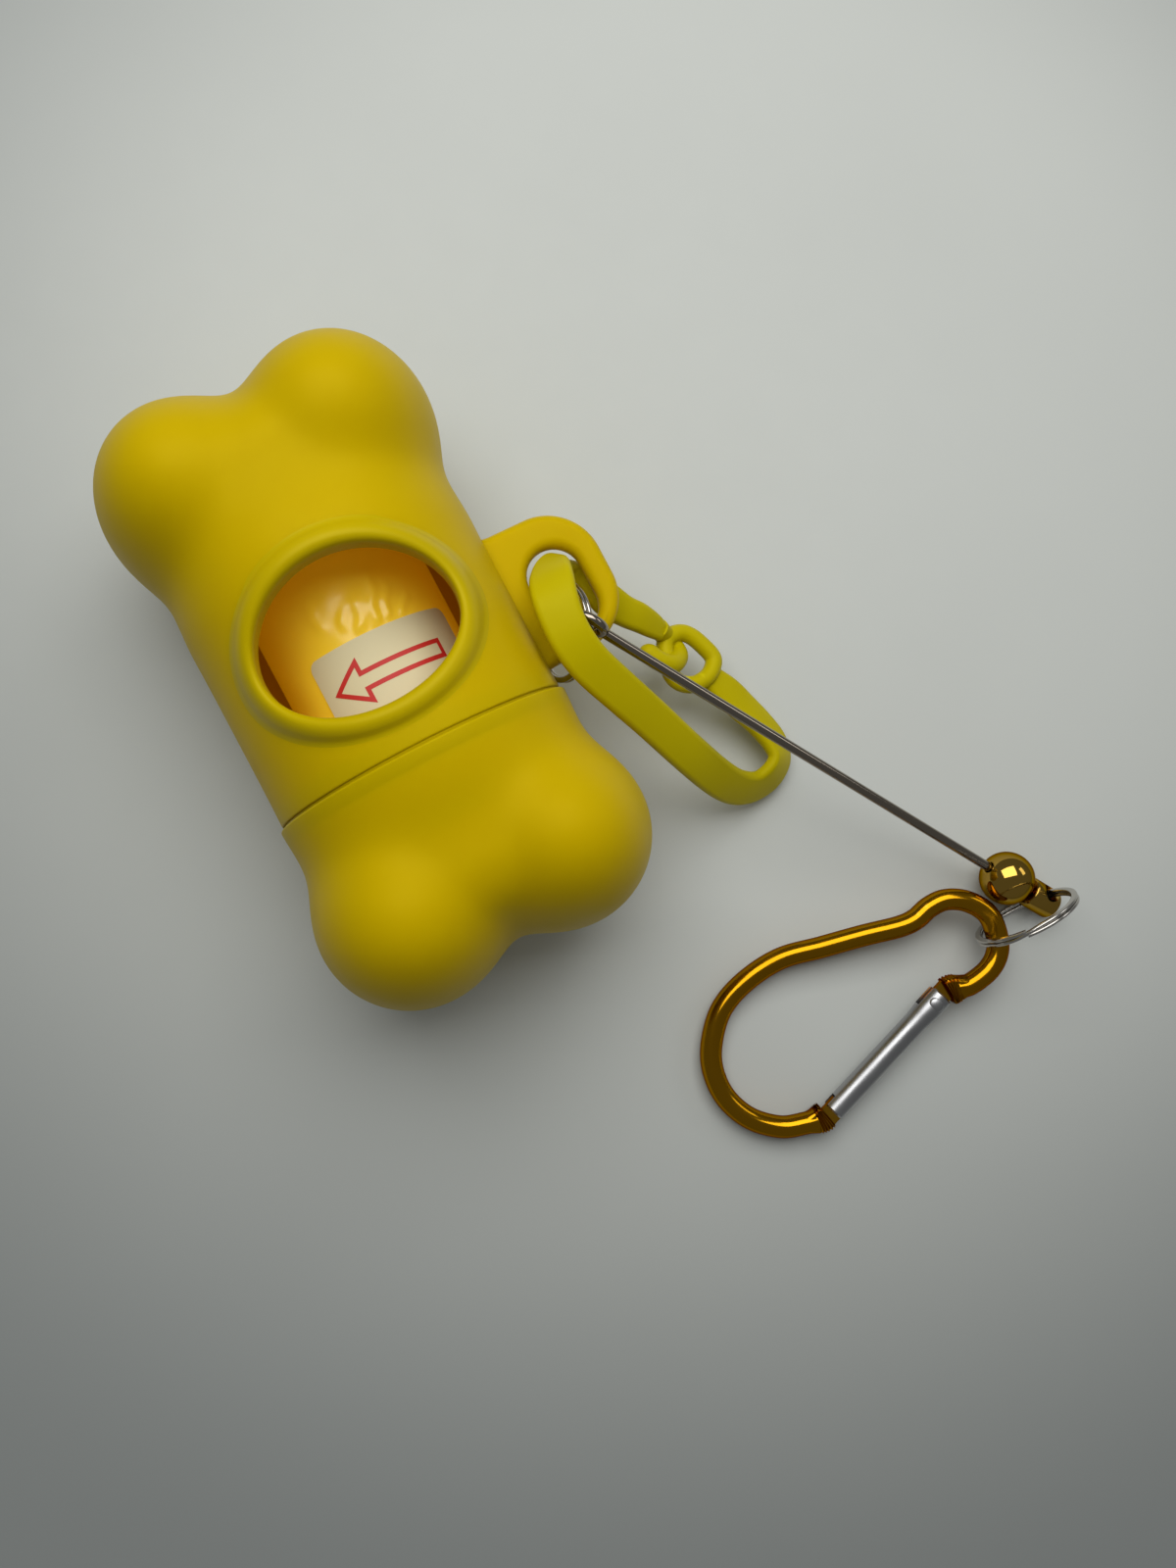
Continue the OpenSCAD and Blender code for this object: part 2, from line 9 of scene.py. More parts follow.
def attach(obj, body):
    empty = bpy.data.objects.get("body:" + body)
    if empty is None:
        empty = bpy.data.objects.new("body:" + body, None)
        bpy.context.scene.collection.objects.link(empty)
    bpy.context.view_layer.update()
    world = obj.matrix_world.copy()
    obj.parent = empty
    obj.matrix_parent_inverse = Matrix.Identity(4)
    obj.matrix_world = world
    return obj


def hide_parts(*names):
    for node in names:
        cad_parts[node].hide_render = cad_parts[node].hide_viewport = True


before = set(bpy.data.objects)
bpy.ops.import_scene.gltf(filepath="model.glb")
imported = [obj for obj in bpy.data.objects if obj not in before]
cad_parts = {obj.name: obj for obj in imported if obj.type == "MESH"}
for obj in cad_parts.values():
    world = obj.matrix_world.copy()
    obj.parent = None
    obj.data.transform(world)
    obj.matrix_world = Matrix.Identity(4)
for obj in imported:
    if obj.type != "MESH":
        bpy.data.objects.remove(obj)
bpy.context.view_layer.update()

mm = 0.001
boneMiddle = Vector((-26.3, 22.4, 20.3))  # bone's axis at mid-length, in mm


def place(p):
    return (boneMiddle + Vector(p)) * mm


# ---- shared mesh helpers ----

tiny = 1e-6


def addObject(name, data):
    obj = bpy.data.objects.new(name, data)
    bpy.context.scene.collection.objects.link(obj)
    return obj


def meshFrom(name, bm):
    mesh = bpy.data.meshes.new(name)
    bm.to_mesh(mesh)
    bm.free()
    return mesh


def finishPiece(name, bm, body, material, nodes=(), sharp=None):
    bmesh.ops.remove_doubles(bm, verts=bm.verts, dist=tiny)
    bmesh.ops.recalc_face_normals(bm, faces=bm.faces)
    finishMesh(name, meshFrom(name, bm), body, material, nodes, sharp)


def finishMesh(name, mesh, body, material, nodes=(), sharp=None):
    mesh.shade_smooth()
    if sharp:
        mesh.set_sharp_from_angle(angle=math.radians(sharp))
    mesh.materials.clear()
    mesh.materials.append(material)
    piece = addObject(name, mesh)
    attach(piece, body)
    if nodes:
        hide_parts(*nodes)


def looseObject(name, bm):
    return addObject(name, meshFrom(name, bm))


def cutWith(obj, *cutters):
    for cutter in cutters:
        cut = obj.modifiers.new("cut", "BOOLEAN")
        cut.object = cutter
        cut.solver = "EXACT"


def bakedMesh(obj, *cutters):
    bpy.context.view_layer.update()
    graph = bpy.context.evaluated_depsgraph_get()
    mesh = bpy.data.meshes.new_from_object(obj.evaluated_get(graph))
    for spent in (obj, *cutters):
        bpy.data.objects.remove(spent)
    return mesh


def toMetres(bm, offset=(0, 0, 0)):
    bmesh.ops.translate(bm, vec=boneMiddle + Vector(offset), verts=bm.verts)
    bmesh.ops.scale(bm, vec=(mm, mm, mm), verts=bm.verts)


def addCylinder(bm, radius, depth, segments):
    return bmesh.ops.create_cone(bm, cap_ends=True, segments=segments, radius1=radius, radius2=radius,
                                 depth=depth)["verts"]


def addBox(bm, x0, x1, wide, high):
    made = bmesh.ops.create_cube(bm, size=1)["verts"]
    bmesh.ops.scale(bm, vec=(x1 - x0, wide, high), verts=made)
    bmesh.ops.translate(bm, vec=((x0 + x1) / 2, 0, 0), verts=made)
    return list(made)


def spunProfile(bm, points, steps=128, axis=(0, 1, 0)):
    # a closed outline in the x-y plane is turned once round the axis
    verts = [bm.verts.new((x, y, 0)) for x, y in points]
    edges = [bm.edges.new((verts[i], verts[i + 1])) for i in range(len(verts) - 1)]
    edges.append(bm.edges.new((verts[-1], verts[0])))
    bmesh.ops.spin(bm, geom=verts + edges, cent=(0, 0, 0), axis=axis, angle=2 * math.pi, steps=steps,
                   use_merge=True)


def skinLoops(bm, loops, closed=False, caps=True):
    # a ring of points is extruded from each station to the next
    ring = bmesh.ops.create_circle(bm, segments=len(loops[0]), radius=1)["verts"]
    members = set(ring)
    edges = [e for e in {e for v in ring for e in v.link_edges} if all(v in members for v in e.verts)]
    firstEdges = list(edges)
    for vert, point in zip(ring, loops[0]):
        vert.co = point
    for points in loops[1:]:
        grown = bmesh.ops.extrude_edge_only(bm, edges=edges)["geom"]
        fresh = {g for g in grown if isinstance(g, bmesh.types.BMVert)}
        ring = [next(e.other_vert(v) for e in v.link_edges if e.other_vert(v) in fresh) for v in ring]
        edges = [g for g in grown if isinstance(g, bmesh.types.BMEdge) and all(v in fresh for v in g.verts)]
        for vert, point in zip(ring, points):
            vert.co = point
    if closed:
        bmesh.ops.bridge_loops(bm, edges=firstEdges + edges)
    elif caps:
        bmesh.ops.holes_fill(bm, edges=firstEdges)
        bmesh.ops.holes_fill(bm, edges=edges)


def smoothRows(rows, steps, closed=False):
    rows = np.array(rows, float)
    count = len(rows)
    out = []
    spans = count if closed else count - 1
    for i in range(spans):
        pick = (lambda k: rows[k % count]) if closed else (lambda k: rows[min(max(k, 0), count - 1)])
        a, b, c, d = pick(i - 1), pick(i), pick(i + 1), pick(i + 2)
        for s in range(steps):
            t = s / steps
            out.append(0.5 * (2 * b + (c - a) * t + (2 * a - 5 * b + 4 * c - d) * t * t
                              + (3 * b - a - 3 * c + d) * t ** 3))
    if not closed:
        out.append(rows[-1])
    return out


def courseOf(points, i, closed=False):
    count = len(points)
    if closed:
        step = points[(i + 1) % count] - points[i - 1]
    else:
        step = points[min(i + 1, count - 1)] - points[max(i - 1, 0)]
    return step / np.linalg.norm(step)


def tubeLoops(points, radius, sides=24, closed=False, up=(0.1, 0.2, 1)):
    # round section, carried along without twisting
    points = [np.array(p, float) for p in points]
    radii = radius if hasattr(radius, "__len__") else [radius] * len(points)
    side = None
    loops = []
    for i, p in enumerate(points):
        t = courseOf(points, i, closed)
        if side is None:
            side = np.cross(t, np.array(up, float))
        side = side - t * (side @ t)
        side /= np.linalg.norm(side)
        other = np.cross(t, side)
        loops.append([place(p + radii[i] * (math.cos(a) * side + math.sin(a) * other))
                      for a in np.linspace(0, 2 * math.pi, sides, endpoint=False)])
    return loops


def roundedSection(centre, across, up, halfWide, halfHigh, edge, angles):
    # rectangle with round corners, as a ring of points
    ring = []
    for sideX, sideY, start in ((1, 1, 0), (-1, 1, 90), (-1, -1, 180), (1, -1, 270)):
        for angle in angles:
            t = math.radians(start + angle)
            ring.append(place(centre + (sideX * (halfWide - edge) + edge * math.cos(t)) * across
                              + (sideY * (halfHigh - edge) + edge * math.sin(t)) * up))
    return ring


def basisFor(direction):
    w = Vector(direction).normalized()
    u = Vector((0, 0, 1)).cross(w)
    u = u.normalized() if u.length > tiny else Vector((1, 0, 0))
    return u, w.cross(u), w


def aimMatrix(centre, direction):
    return Matrix.Translation(Vector(centre)) @ Matrix(basisFor(direction)).transposed().to_4x4()


# ---- shared shader helpers and groups ----

def feed(tree, node, values):
    # an input takes a plain value or the output of another node
    for socket, value in values.items():
        if isinstance(value, bpy.types.NodeSocket):
            tree.links.new(value, node.inputs[socket])
        else:
            node.inputs[socket].default_value = value


def addNode(tree, kind, values=None, **attributes):
    node = tree.nodes.new("ShaderNode" + kind)
    for key, value in attributes.items():
        setattr(node, key, value)
    feed(tree, node, values or {})
    return node


def mixColours(tree, share, first, second):
    return addNode(tree, "Mix", {0: share, 6: first, 7: second}, data_type="RGBA").outputs[2]


def mathOf(tree, operation, first, second):
    return addNode(tree, "Math", {0: first, 1: second}, operation=operation).outputs[0]


def openGroup(name, result, inputs):
    group = bpy.data.node_groups.new(name, "ShaderNodeTree")
    sockets = group.interface
    sockets.new_socket(name="Vector", in_out="INPUT", socket_type="NodeSocketVector")
    for title, default in inputs.items():
        kind = "NodeSocketFloat" if isinstance(default, float) else "NodeSocketColor"
        sockets.new_socket(name=title, in_out="INPUT", socket_type=kind).default_value = default
    kind = "NodeSocketColor" if result == "Color" else "NodeSocketFloat"
    sockets.new_socket(name=result, in_out="OUTPUT", socket_type=kind)
    return group, group.nodes.new("NodeGroupInput").outputs


def closeGroup(group, output):
    group.links.new(output, group.nodes.new("NodeGroupOutput").inputs[0])
    return group


def buildGrain():
    # fine moulded or ground grain, as a height between 0 and 1
    g, given = openGroup("surfaceGrain", "Height", {"Scale": 2500.0, "Coarse": 120.0, "Mix": 0.3})
    fine = addNode(g, "TexNoise", {"Vector": given["Vector"], "Scale": given["Scale"], "Detail": 3.0})
    wide = addNode(g, "TexNoise", {"Vector": given["Vector"], "Scale": given["Coarse"], "Detail": 2.0})
    blend = addNode(g, "Mix", {0: given["Mix"], 2: fine.outputs["Fac"], 3: wide.outputs["Fac"]})
    return closeGroup(g, blend.outputs[0])


def buildDrift():
    # slow change of a colour over a surface
    g, given = openGroup("colourDrift", "Color", {"Color": (0.5, 0.5, 0.5, 1), "Other": (0.4, 0.4, 0.4, 1),
                                                  "Scale": 40.0, "Amount": 0.5})
    noise = addNode(g, "TexNoise", {"Vector": given["Vector"], "Scale": given["Scale"], "Detail": 4.0})
    ramp = addNode(g, "MapRange", {"Value": noise.outputs["Fac"], "From Min": 0.35, "From Max": 0.7})
    share = mathOf(g, "MULTIPLY", ramp.outputs["Result"], given["Amount"])
    return closeGroup(g, mixColours(g, share, given["Color"], given["Other"]))


def buildWear():
    # rubbed edges, from how sharply the surface turns
    g, given = openGroup("edgeWear", "Mask", {"Start": 0.52, "End": 0.6, "Break": 600.0})
    bend = addNode(g, "NewGeometry").outputs["Pointiness"]
    ramp = addNode(g, "MapRange", {"Value": bend, "From Min": given["Start"], "From Max": given["End"]})
    noise = addNode(g, "TexNoise", {"Vector": given["Vector"], "Scale": given["Break"]})
    return closeGroup(g, mathOf(g, "MULTIPLY", ramp.outputs["Result"], noise.outputs["Fac"]))


def buildSpecks():
    # small scattered specks of dirt
    g, given = openGroup("dirtSpecks", "Mask", {"Scale": 90.0, "Size": 0.03, "Share": 0.06})
    cells = addNode(g, "TexVoronoi", {"Vector": given["Vector"], "Scale": given["Scale"]})
    split = addNode(g, "SeparateColor", {"Color": cells.outputs["Color"]})
    near = mathOf(g, "LESS_THAN", cells.outputs["Distance"], given["Size"])
    few = mathOf(g, "LESS_THAN", split.outputs["Red"], given["Share"])
    return closeGroup(g, mathOf(g, "MULTIPLY", near, few))


grainGroup, driftGroup, wearGroup, specksGroup = buildGrain(), buildDrift(), buildWear(), buildSpecks()


def srgb(r, g, b):
    def lin(c):
        c /= 255
        return c / 12.92 if c <= 0.04045 else ((c + 0.055) / 1.055) ** 2.4
    return (lin(r), lin(g), lin(b), 1.0)


def paintedBoreGlow(tree, at, s):
    # painted glow: the bore's inner wall behind the window is given an orange emission, standing in for light
    # that comes through the thin wall
    apart = addNode(tree, "VectorMath", {0: at, 1: s["centre"]}, operation="SUBTRACT").outputs[0]
    shares = []
    for mask, near, soft in (((1, 0, 1), s["bore"], s["boreSoft"]), ((0, 1, 0), s["half"], s["halfSoft"])):
        flat = addNode(tree, "VectorMath", {0: apart, 1: mask}, operation="MULTIPLY").outputs[0]
        reach = addNode(tree, "VectorMath", {0: flat}, operation="LENGTH").outputs["Value"]
        fade = addNode(tree, "MapRange", {"Value": reach, "From Min": near, "From Max": near + soft,
                                          "To Min": 1, "To Max": 0})
        shares.append(fade.outputs["Result"])
    return mixColours(tree, mathOf(tree, "MULTIPLY", *shares), (0, 0, 0, 1), s["colour"])


def makeMaterial(name, s):
    mat = bpy.data.materials.new(name)
    mat.use_nodes = True
    tree = mat.node_tree
    at = addNode(tree, "TexCoord").outputs["Object"]

    def group(kind, **values):
        return addNode(tree, "Group", {"Vector": at, **values}, node_tree=kind).outputs[0]

    colour = group(driftGroup, Color=s["colour"], Other=s["other"], Scale=s.get("driftScale", 45.0),
                   Amount=0.6)
    for kind, mark in ((wearGroup, s.get("wear")), (specksGroup, s.get("specks"))):
        if mark:
            colour = mixColours(tree, group(kind, **mark["group"]), colour, mark["colour"])
    grain = group(grainGroup, Scale=s.get("grainScale", 2500.0), Coarse=s.get("coarseScale", 150.0),
                  Mix=s.get("coarseMix", 0.3))
    bump = addNode(tree, "Bump", {"Strength": s["bump"], "Distance": s.get("bumpDepth", 0.00005),
                                  "Height": grain})
    wide = addNode(tree, "TexNoise", {"Vector": at, "Scale": 180.0, "Detail": 4.0})
    rough = addNode(tree, "MapRange", {"Value": wide.outputs["Fac"], "From Min": 0.3, "From Max": 0.7,
                                       "To Min": s["rough"][0], "To Max": s["rough"][1]})
    shader = tree.nodes["Principled BSDF"]
    feed(tree, shader, {**s.get("shader", {}), "Base Color": colour, "Normal": bump.outputs["Normal"],
                        "Roughness": rough.outputs["Result"]})
    # painted glow: an orange emission on the bore's inner wall, in place of light through the shell
    if "inside" in s:
        feed(tree, shader, {"Emission Color": paintedBoreGlow(tree, at, s["inside"])})
    return mat


finishes = {
    "bone": dict(colour=srgb(202, 172, 0), other=srgb(196, 166, 0), rough=(0.42, 0.5), bump=0.1,
                 grainScale=1800.0, driftScale=22.0,
                 specks=dict(group=dict(Scale=110.0, Size=0.022, Share=0.05), colour=srgb(60, 50, 20)),
                 # the bore's inner wall gets a painted orange glow (emission), standing in for light through
                 # the thin wall
                 inside=dict(centre=(-0.0263, 0.0258, 0.0203), half=0.017, halfSoft=0.004, bore=0.0163,
                             boreSoft=0.0006, colour=(0.72, 0.25, 0.0, 1.0)),
                 shader={"Subsurface Weight": 0.35, "Subsurface Radius": (0.005, 0.0045, 0.0003),
                         "Subsurface Scale": 0.7, "Specular IOR Level": 0.2, "Emission Strength": 0.24,
                         "Specular Tint": (1.0, 0.82, 0.1, 1.0)}),
    "window": dict(colour=srgb(196, 172, 0), other=srgb(190, 166, 0), rough=(0.36, 0.46), bump=0.1,
                   shader={"Subsurface Weight": 0.06, "Subsurface Radius": (0.004, 0.003, 0.0005),
                           "Subsurface Scale": 0.3, "Specular IOR Level": 0.3,
                           "Specular Tint": (1.0, 0.88, 0.2, 1.0)}),
    "strap": dict(colour=srgb(193, 177, 0), other=srgb(185, 169, 0), rough=(0.42, 0.55), bump=0.2,
                  grainScale=1500.0, coarseScale=500.0,
                  wear=dict(group=dict(Start=0.54, End=0.68), colour=srgb(214, 204, 20)),
                  shader={"Specular IOR Level": 0.25, "Specular Tint": (1.0, 0.95, 0.2, 1.0),
                          "Subsurface Weight": 0.12, "Subsurface Radius": (0.004, 0.0035, 0.0006),
                          "Subsurface Scale": 0.4}),
    # the film has a painted orange glow (emission), standing in for light that comes through the shell
    "film": dict(colour=srgb(255, 222, 60), other=srgb(255, 212, 40), rough=(0.16, 0.26), bump=0.25,
                 bumpDepth=0.0003, grainScale=160.0, coarseScale=45.0, coarseMix=0.5,
                 shader={"Subsurface Weight": 0.2, "Subsurface Radius": (0.003, 0.002, 0.0004),
                         "Subsurface Scale": 0.3, "Emission Color": (0.95, 0.42, 0.0, 1.0),
                         "Emission Strength": 0.11}),
    "board": dict(colour=srgb(170, 140, 100), other=srgb(150, 122, 84), rough=(0.8, 0.9), bump=0.3),
    "paper": dict(colour=srgb(226, 216, 176), other=srgb(220, 208, 164), rough=(0.55, 0.66), bump=0.1,
                  grainScale=900.0),
    "ink": dict(colour=srgb(206, 40, 34), other=srgb(196, 34, 30), rough=(0.5, 0.6), bump=0.05),
    "ringSteel": dict(colour=srgb(196, 192, 186), other=srgb(176, 170, 162), rough=(0.14, 0.26), bump=0.1,
                      wear=dict(group=dict(Start=0.53, End=0.62), colour=srgb(226, 224, 220)),
                      shader={"Metallic": 1.0}),
    "rodSteel": dict(colour=srgb(150, 140, 128), other=srgb(136, 126, 114), rough=(0.1, 0.18), bump=0.08,
                     shader={"Metallic": 1.0}),
    "goldPlate": dict(colour=srgb(182, 146, 66), other=srgb(168, 132, 52), rough=(0.05, 0.11), bump=0.03,
                      wear=dict(group=dict(Start=0.54, End=0.66), colour=srgb(206, 176, 104)),
                      shader={"Metallic": 1.0, "Specular Tint": (0.4, 0.28, 0.1, 1.0)}),
    "goldAnodised": dict(colour=srgb(176, 126, 16), other=srgb(164, 112, 8), rough=(0.13, 0.2), bump=0.08,
                         grainScale=1600.0,
                         wear=dict(group=dict(Start=0.54, End=0.66), colour=srgb(196, 148, 44)),
                         shader={"Metallic": 1.0, "Specular Tint": (0.3, 0.16, 0.02, 1.0)}),
    "gateMetal": dict(colour=srgb(176, 176, 178), other=srgb(160, 160, 162), rough=(0.26, 0.38), bump=0.1,
                      wear=dict(group=dict(Start=0.54, End=0.66), colour=srgb(204, 204, 204)),
                      shader={"Metallic": 1.0}),
}
materials = {name: makeMaterial(name, values) for name, values in finishes.items()}
print("materials made:", len(materials))


# ---- bone halves ----

bone = {
    "neckRadius": 19.7, "capStep": 0.5, "lobeSide": 9.9, "lobeAlong": 29.2, "lobeRadius": 12.3,
    "lobeHalfHeight": 19.5, "blend": 2.3, "middleRadius": 17.9, "middleHalf": 34.3, "middleRound": 8.0,
    "neckHalf": 11.2, "soft": 0.6, "domeCentre": 14.0, "seam": 12.4, "gap": 0.3, "wall": 2.0,
    "edgeRound": 0.3, "sides": 176, "rings": 132,
}


def boneDistance(p, radius, side):
    b = bone
    y = np.abs(p[:, 1])
    neck = np.sqrt(p[:, 0] ** 2 + np.maximum(y - b["neckHalf"], 0) ** 2 + p[:, 2] ** 2) - radius
    terms = [neck]
    for s in (side, -side):
        across = ((p[:, 0] - s) / b["lobeRadius"]) ** 2
        along = ((y - b["lobeAlong"]) / b["lobeRadius"]) ** 2
        high = (p[:, 2] / b["lobeHalfHeight"]) ** 2
        terms.append((np.sqrt(across + along + high) - 1) * b["lobeRadius"])
    whole = -b["blend"] * np.log(sum(np.exp(-t / b["blend"]) for t in terms))
    a = np.sqrt(p[:, 0] ** 2 + p[:, 2] ** 2) - b["middleRadius"] + b["middleRound"]
    c = y - b["middleHalf"] + b["middleRound"]
    middle = (np.sqrt(np.maximum(a, 0) ** 2 + np.maximum(c, 0) ** 2)
              + np.minimum(np.maximum(a, c), 0) - b["middleRound"])
    return -b["soft"] * np.log(np.exp(-whole / b["soft"]) + np.exp(-middle / b["soft"]))


def reachSurface(starts, rays, radius, side):
    low, high = np.full(len(rays), 5.0), np.full(len(rays), 45.0)
    for _ in range(26):
        mid = (low + high) / 2
        outside = boneDistance(starts + mid[:, None] * rays, radius, side) > 0
        high = np.where(outside, mid, high)
        low = np.where(outside, low, mid)
    return starts + low[:, None] * rays


def boneEnd(mouth, radius, side):
    # a globe is stretched over the end: its upper half is the dome, its lower half the straight part
    b = bone
    bm = bmesh.new()
    bmesh.ops.create_uvsphere(bm, u_segments=b["sides"], v_segments=b["rings"], radius=1)
    bmesh.ops.delete(bm, geom=[v for v in bm.verts if v.co.z < -0.9995], context="VERTS")
    at = np.array([v.co for v in bm.verts])
    lift = np.arcsin(np.clip(at[:, 2], -1, 1))
    turn = np.arctan2(at[:, 1], at[:, 0])
    lowest = lift.min()
    up = np.maximum(lift, 0)
    down = np.clip(lift / lowest, 0, 1)
    ease = 1 - (1 - down) ** 2
    along = b["domeCentre"] + (mouth - b["domeCentre"]) * ease
    starts = np.stack([0 * lift, np.where(lift >= 0, b["domeCentre"], along), 0 * lift], 1)
    rays = np.stack([np.cos(turn) * np.cos(up), np.sin(up), np.sin(turn) * np.cos(up)], 1)
    points = reachSurface(starts, rays, radius, side)
    near = np.clip(1 - (points[:, 1] - mouth) / b["edgeRound"], 0, 1)
    shrink = b["edgeRound"] * (1 - np.sqrt(1 - near ** 2))
    reach = np.sqrt(points[:, 0] ** 2 + points[:, 2] ** 2)
    keep = np.where((lift < 0) & (reach > 1), (reach - shrink) / np.maximum(reach, 1), 1)
    points[:, 0] *= keep
    points[:, 2] *= keep
    for v, p in zip(bm.verts, points):
        v.co = p
    return bm


def thicken(bm, wall):
    bmesh.ops.recalc_face_normals(bm, faces=bm.faces)
    middle = Vector((0, 26, 0))
    if sum(f.normal.dot(f.calc_center_median() - middle) for f in bm.faces) < 0:
        bmesh.ops.reverse_faces(bm, faces=bm.faces)
    shell = looseObject("shellRaw", bm)
    mod = shell.modifiers.new("wall", "SOLIDIFY")
    mod.thickness = wall
    mod.offset = -1.0
    mod.use_even_offset = False
    return shell


windowSettings = {"along": 2.4, "halfX": 12.3, "halfY": 9.3, "wall": 1.2, "cutHigh": 24, "cutAt": 17}


def windowCutter():
    w = windowSettings
    bm = bmesh.new()
    addCylinder(bm, 1, w["cutHigh"], 96)
    bmesh.ops.scale(bm, vec=(w["halfX"] + w["wall"], w["halfY"] + w["wall"], 1), verts=bm.verts)
    bmesh.ops.translate(bm, vec=(0, w["along"], w["cutAt"]), verts=bm.verts)
    return looseObject("windowCutter", bm)


def threadLoops(y0, turns, pitch, root, crest, perTurn=64):
    loops = []
    count = int(turns * perTurn)
    for i in range(count + 1):
        a = 2 * math.pi * i / perTurn
        fade = min(1, i / 10, (count - i) / 10)
        top = root + (crest - root) * (0.05 + 0.95 * fade)
        y = y0 + pitch * i / perTurn
        ring = []
        for r, dy in ((root, -0.9), (top, -0.35), (top + 0.02 * (crest - root), 0), (top, 0.35), (root, 0.9)):
            ring.append(Vector((r * math.cos(a), y + dy, r * math.sin(a))))
        loops.append(ring)
    return loops


def toRow(mesh, mirrored=False):
    flip = Matrix.Diagonal((1, -1, 1, 1)) if mirrored else Matrix.Identity(4)
    mesh.transform(Matrix.Scale(mm, 4) @ Matrix.Translation(boneMiddle) @ flip)
    if mirrored:
        mesh.flip_normals()
    return mesh


neck = {"out": 17.2, "bore": 15.6, "length": 8.5, "lip": 0.35, "into": 3}
thread = {"turns": 1.25, "pitch": 3.5, "from": 1.6, "neckCrest": 17.6, "capRoot": 18.35, "capCrest": 18.0}
neckRoomSettings = {"radius": 17.8, "lead": 1.5, "deep": 8.8}


def buildCase():
    b, n, t = bone, neck, thread
    shell = thicken(boneEnd(-b["seam"], b["neckRadius"], b["lobeSide"]), b["wall"])
    cutter = windowCutter()
    cutWith(shell, cutter)
    mesh = bakedMesh(shell, cutter)
    finishMesh("caseShell", toRow(mesh), "case", materials["bone"], ["case_shell"], 35)

    bm = bmesh.new()
    y0, y1 = -b["seam"] - n["length"], -b["seam"] + n["into"]
    shoulder = -b["seam"] - 0.26
    spunProfile(bm, [(n["bore"], y1), (n["bore"], y0 + n["lip"]), (n["bore"] + n["lip"], y0),
                     (n["out"] - n["lip"], y0), (n["out"], y0 + n["lip"]), (n["out"], shoulder),
                     (b["neckRadius"] - 0.2, shoulder), (b["neckRadius"] - 0.1, -b["seam"] + 0.4),
                     (b["neckRadius"] - 0.5, y1)])
    toMetres(bm)
    finishPiece("caseNeck", bm, "case", materials["bone"], sharp=35)
    bm = bmesh.new()
    skinLoops(bm, threadLoops(y0 + t["from"], t["turns"], t["pitch"], n["out"] - 0.1, t["neckCrest"]))
    toMetres(bm)
    finishPiece("neckThread", bm, "case", materials["bone"], sharp=50)


def neckRoom(mouth):
    # the cap's wall is bored out so far as the neck reaches into it
    n = neckRoomSettings
    bm = bmesh.new()
    addCylinder(bm, n["radius"], n["lead"] + n["deep"], 160)
    bmesh.ops.rotate(bm, cent=(0, 0, 0), matrix=Matrix.Rotation(math.pi / 2, 3, "X"), verts=bm.verts)
    bmesh.ops.translate(bm, vec=(0, mouth + (n["deep"] - n["lead"]) / 2, 0), verts=bm.verts)
    return looseObject("neckRoom", bm)


def buildCap():
    b, t = bone, thread
    mouth = b["seam"] + b["gap"]
    skin = boneEnd(mouth, b["neckRadius"] + b["capStep"], b["lobeSide"] + b["capStep"])
    shell = thicken(skin, b["wall"] - 0.1)
    cutter = neckRoom(mouth)
    cutWith(shell, cutter)
    mesh = bakedMesh(shell, cutter)
    finishMesh("endCap", toRow(mesh, True), "cap", materials["bone"], ["end_cap"], 35)
    bm = bmesh.new()
    skinLoops(bm, threadLoops(mouth + t["from"], t["turns"], t["pitch"], t["capRoot"], t["capCrest"]))
    bmesh.ops.scale(bm, vec=(1, -1, 1), verts=bm.verts)
    toMetres(bm)
    finishPiece("capThread", bm, "cap", materials["bone"], sharp=50)


buildCase()
buildCap()
print("bone halves made")


# ---- window bead ----

windowBead = {"profile": [(0.0, -2.0), (-0.02, -1.0), (-0.02, -0.2), (0.08, 0.42), (0.42, 0.92), (0.98, 1.18),
                          (1.6, 1.12), (2.14, 0.84), (2.5, 0.5), (2.78, 0.24), (3.1, 0.08), (3.4, 0.0),
                          (3.3, -0.3), (1.1, -0.5), (1.1, -2.0)],
              "stations": 160}


def buildWindowBead():
    w, s = windowSettings, windowBead
    profile = smoothRows(s["profile"][:12], 3) + [np.array(p) for p in s["profile"][12:]]
    loops = []
    for k in range(s["stations"]):
        a = 2 * math.pi * k / s["stations"]
        x, y = w["halfX"] * math.cos(a), w["halfY"] * math.sin(a)
        outward = Vector((w["halfY"] * math.cos(a), w["halfX"] * math.sin(a), 0)).normalized()
        ring = []
        for off, up in profile:
            px, py = x + outward.x * off, y + outward.y * off
            radius = bone["neckRadius"] + 0.02 + up
            pz = math.sqrt(max(radius ** 2 - px ** 2, 1))
            ring.append(place((px, w["along"] + py, pz)))
        loops.append(ring)
    bm = bmesh.new()
    skinLoops(bm, loops, closed=True)
    finishPiece("windowBead", bm, "case", materials["window"], ["window_ring"], sharp=60)


buildWindowBead()


# ---- ear ----

ear = {"out": 25.85, "round": 7.5, "half": 1.95, "holeOut": 26.3, "holeRound": 3.7, "holeFrom": -3.4,
       "holeTo": 1.1, "thick": 3.0, "edge": 1.25, "root": 18.4}


def arcPoints(cx, cy, r, a0, a1, count):
    return [(cx + r * math.cos(math.radians(a)), cy + r * math.sin(math.radians(a)))
            for a in np.linspace(a0, a1, count)]


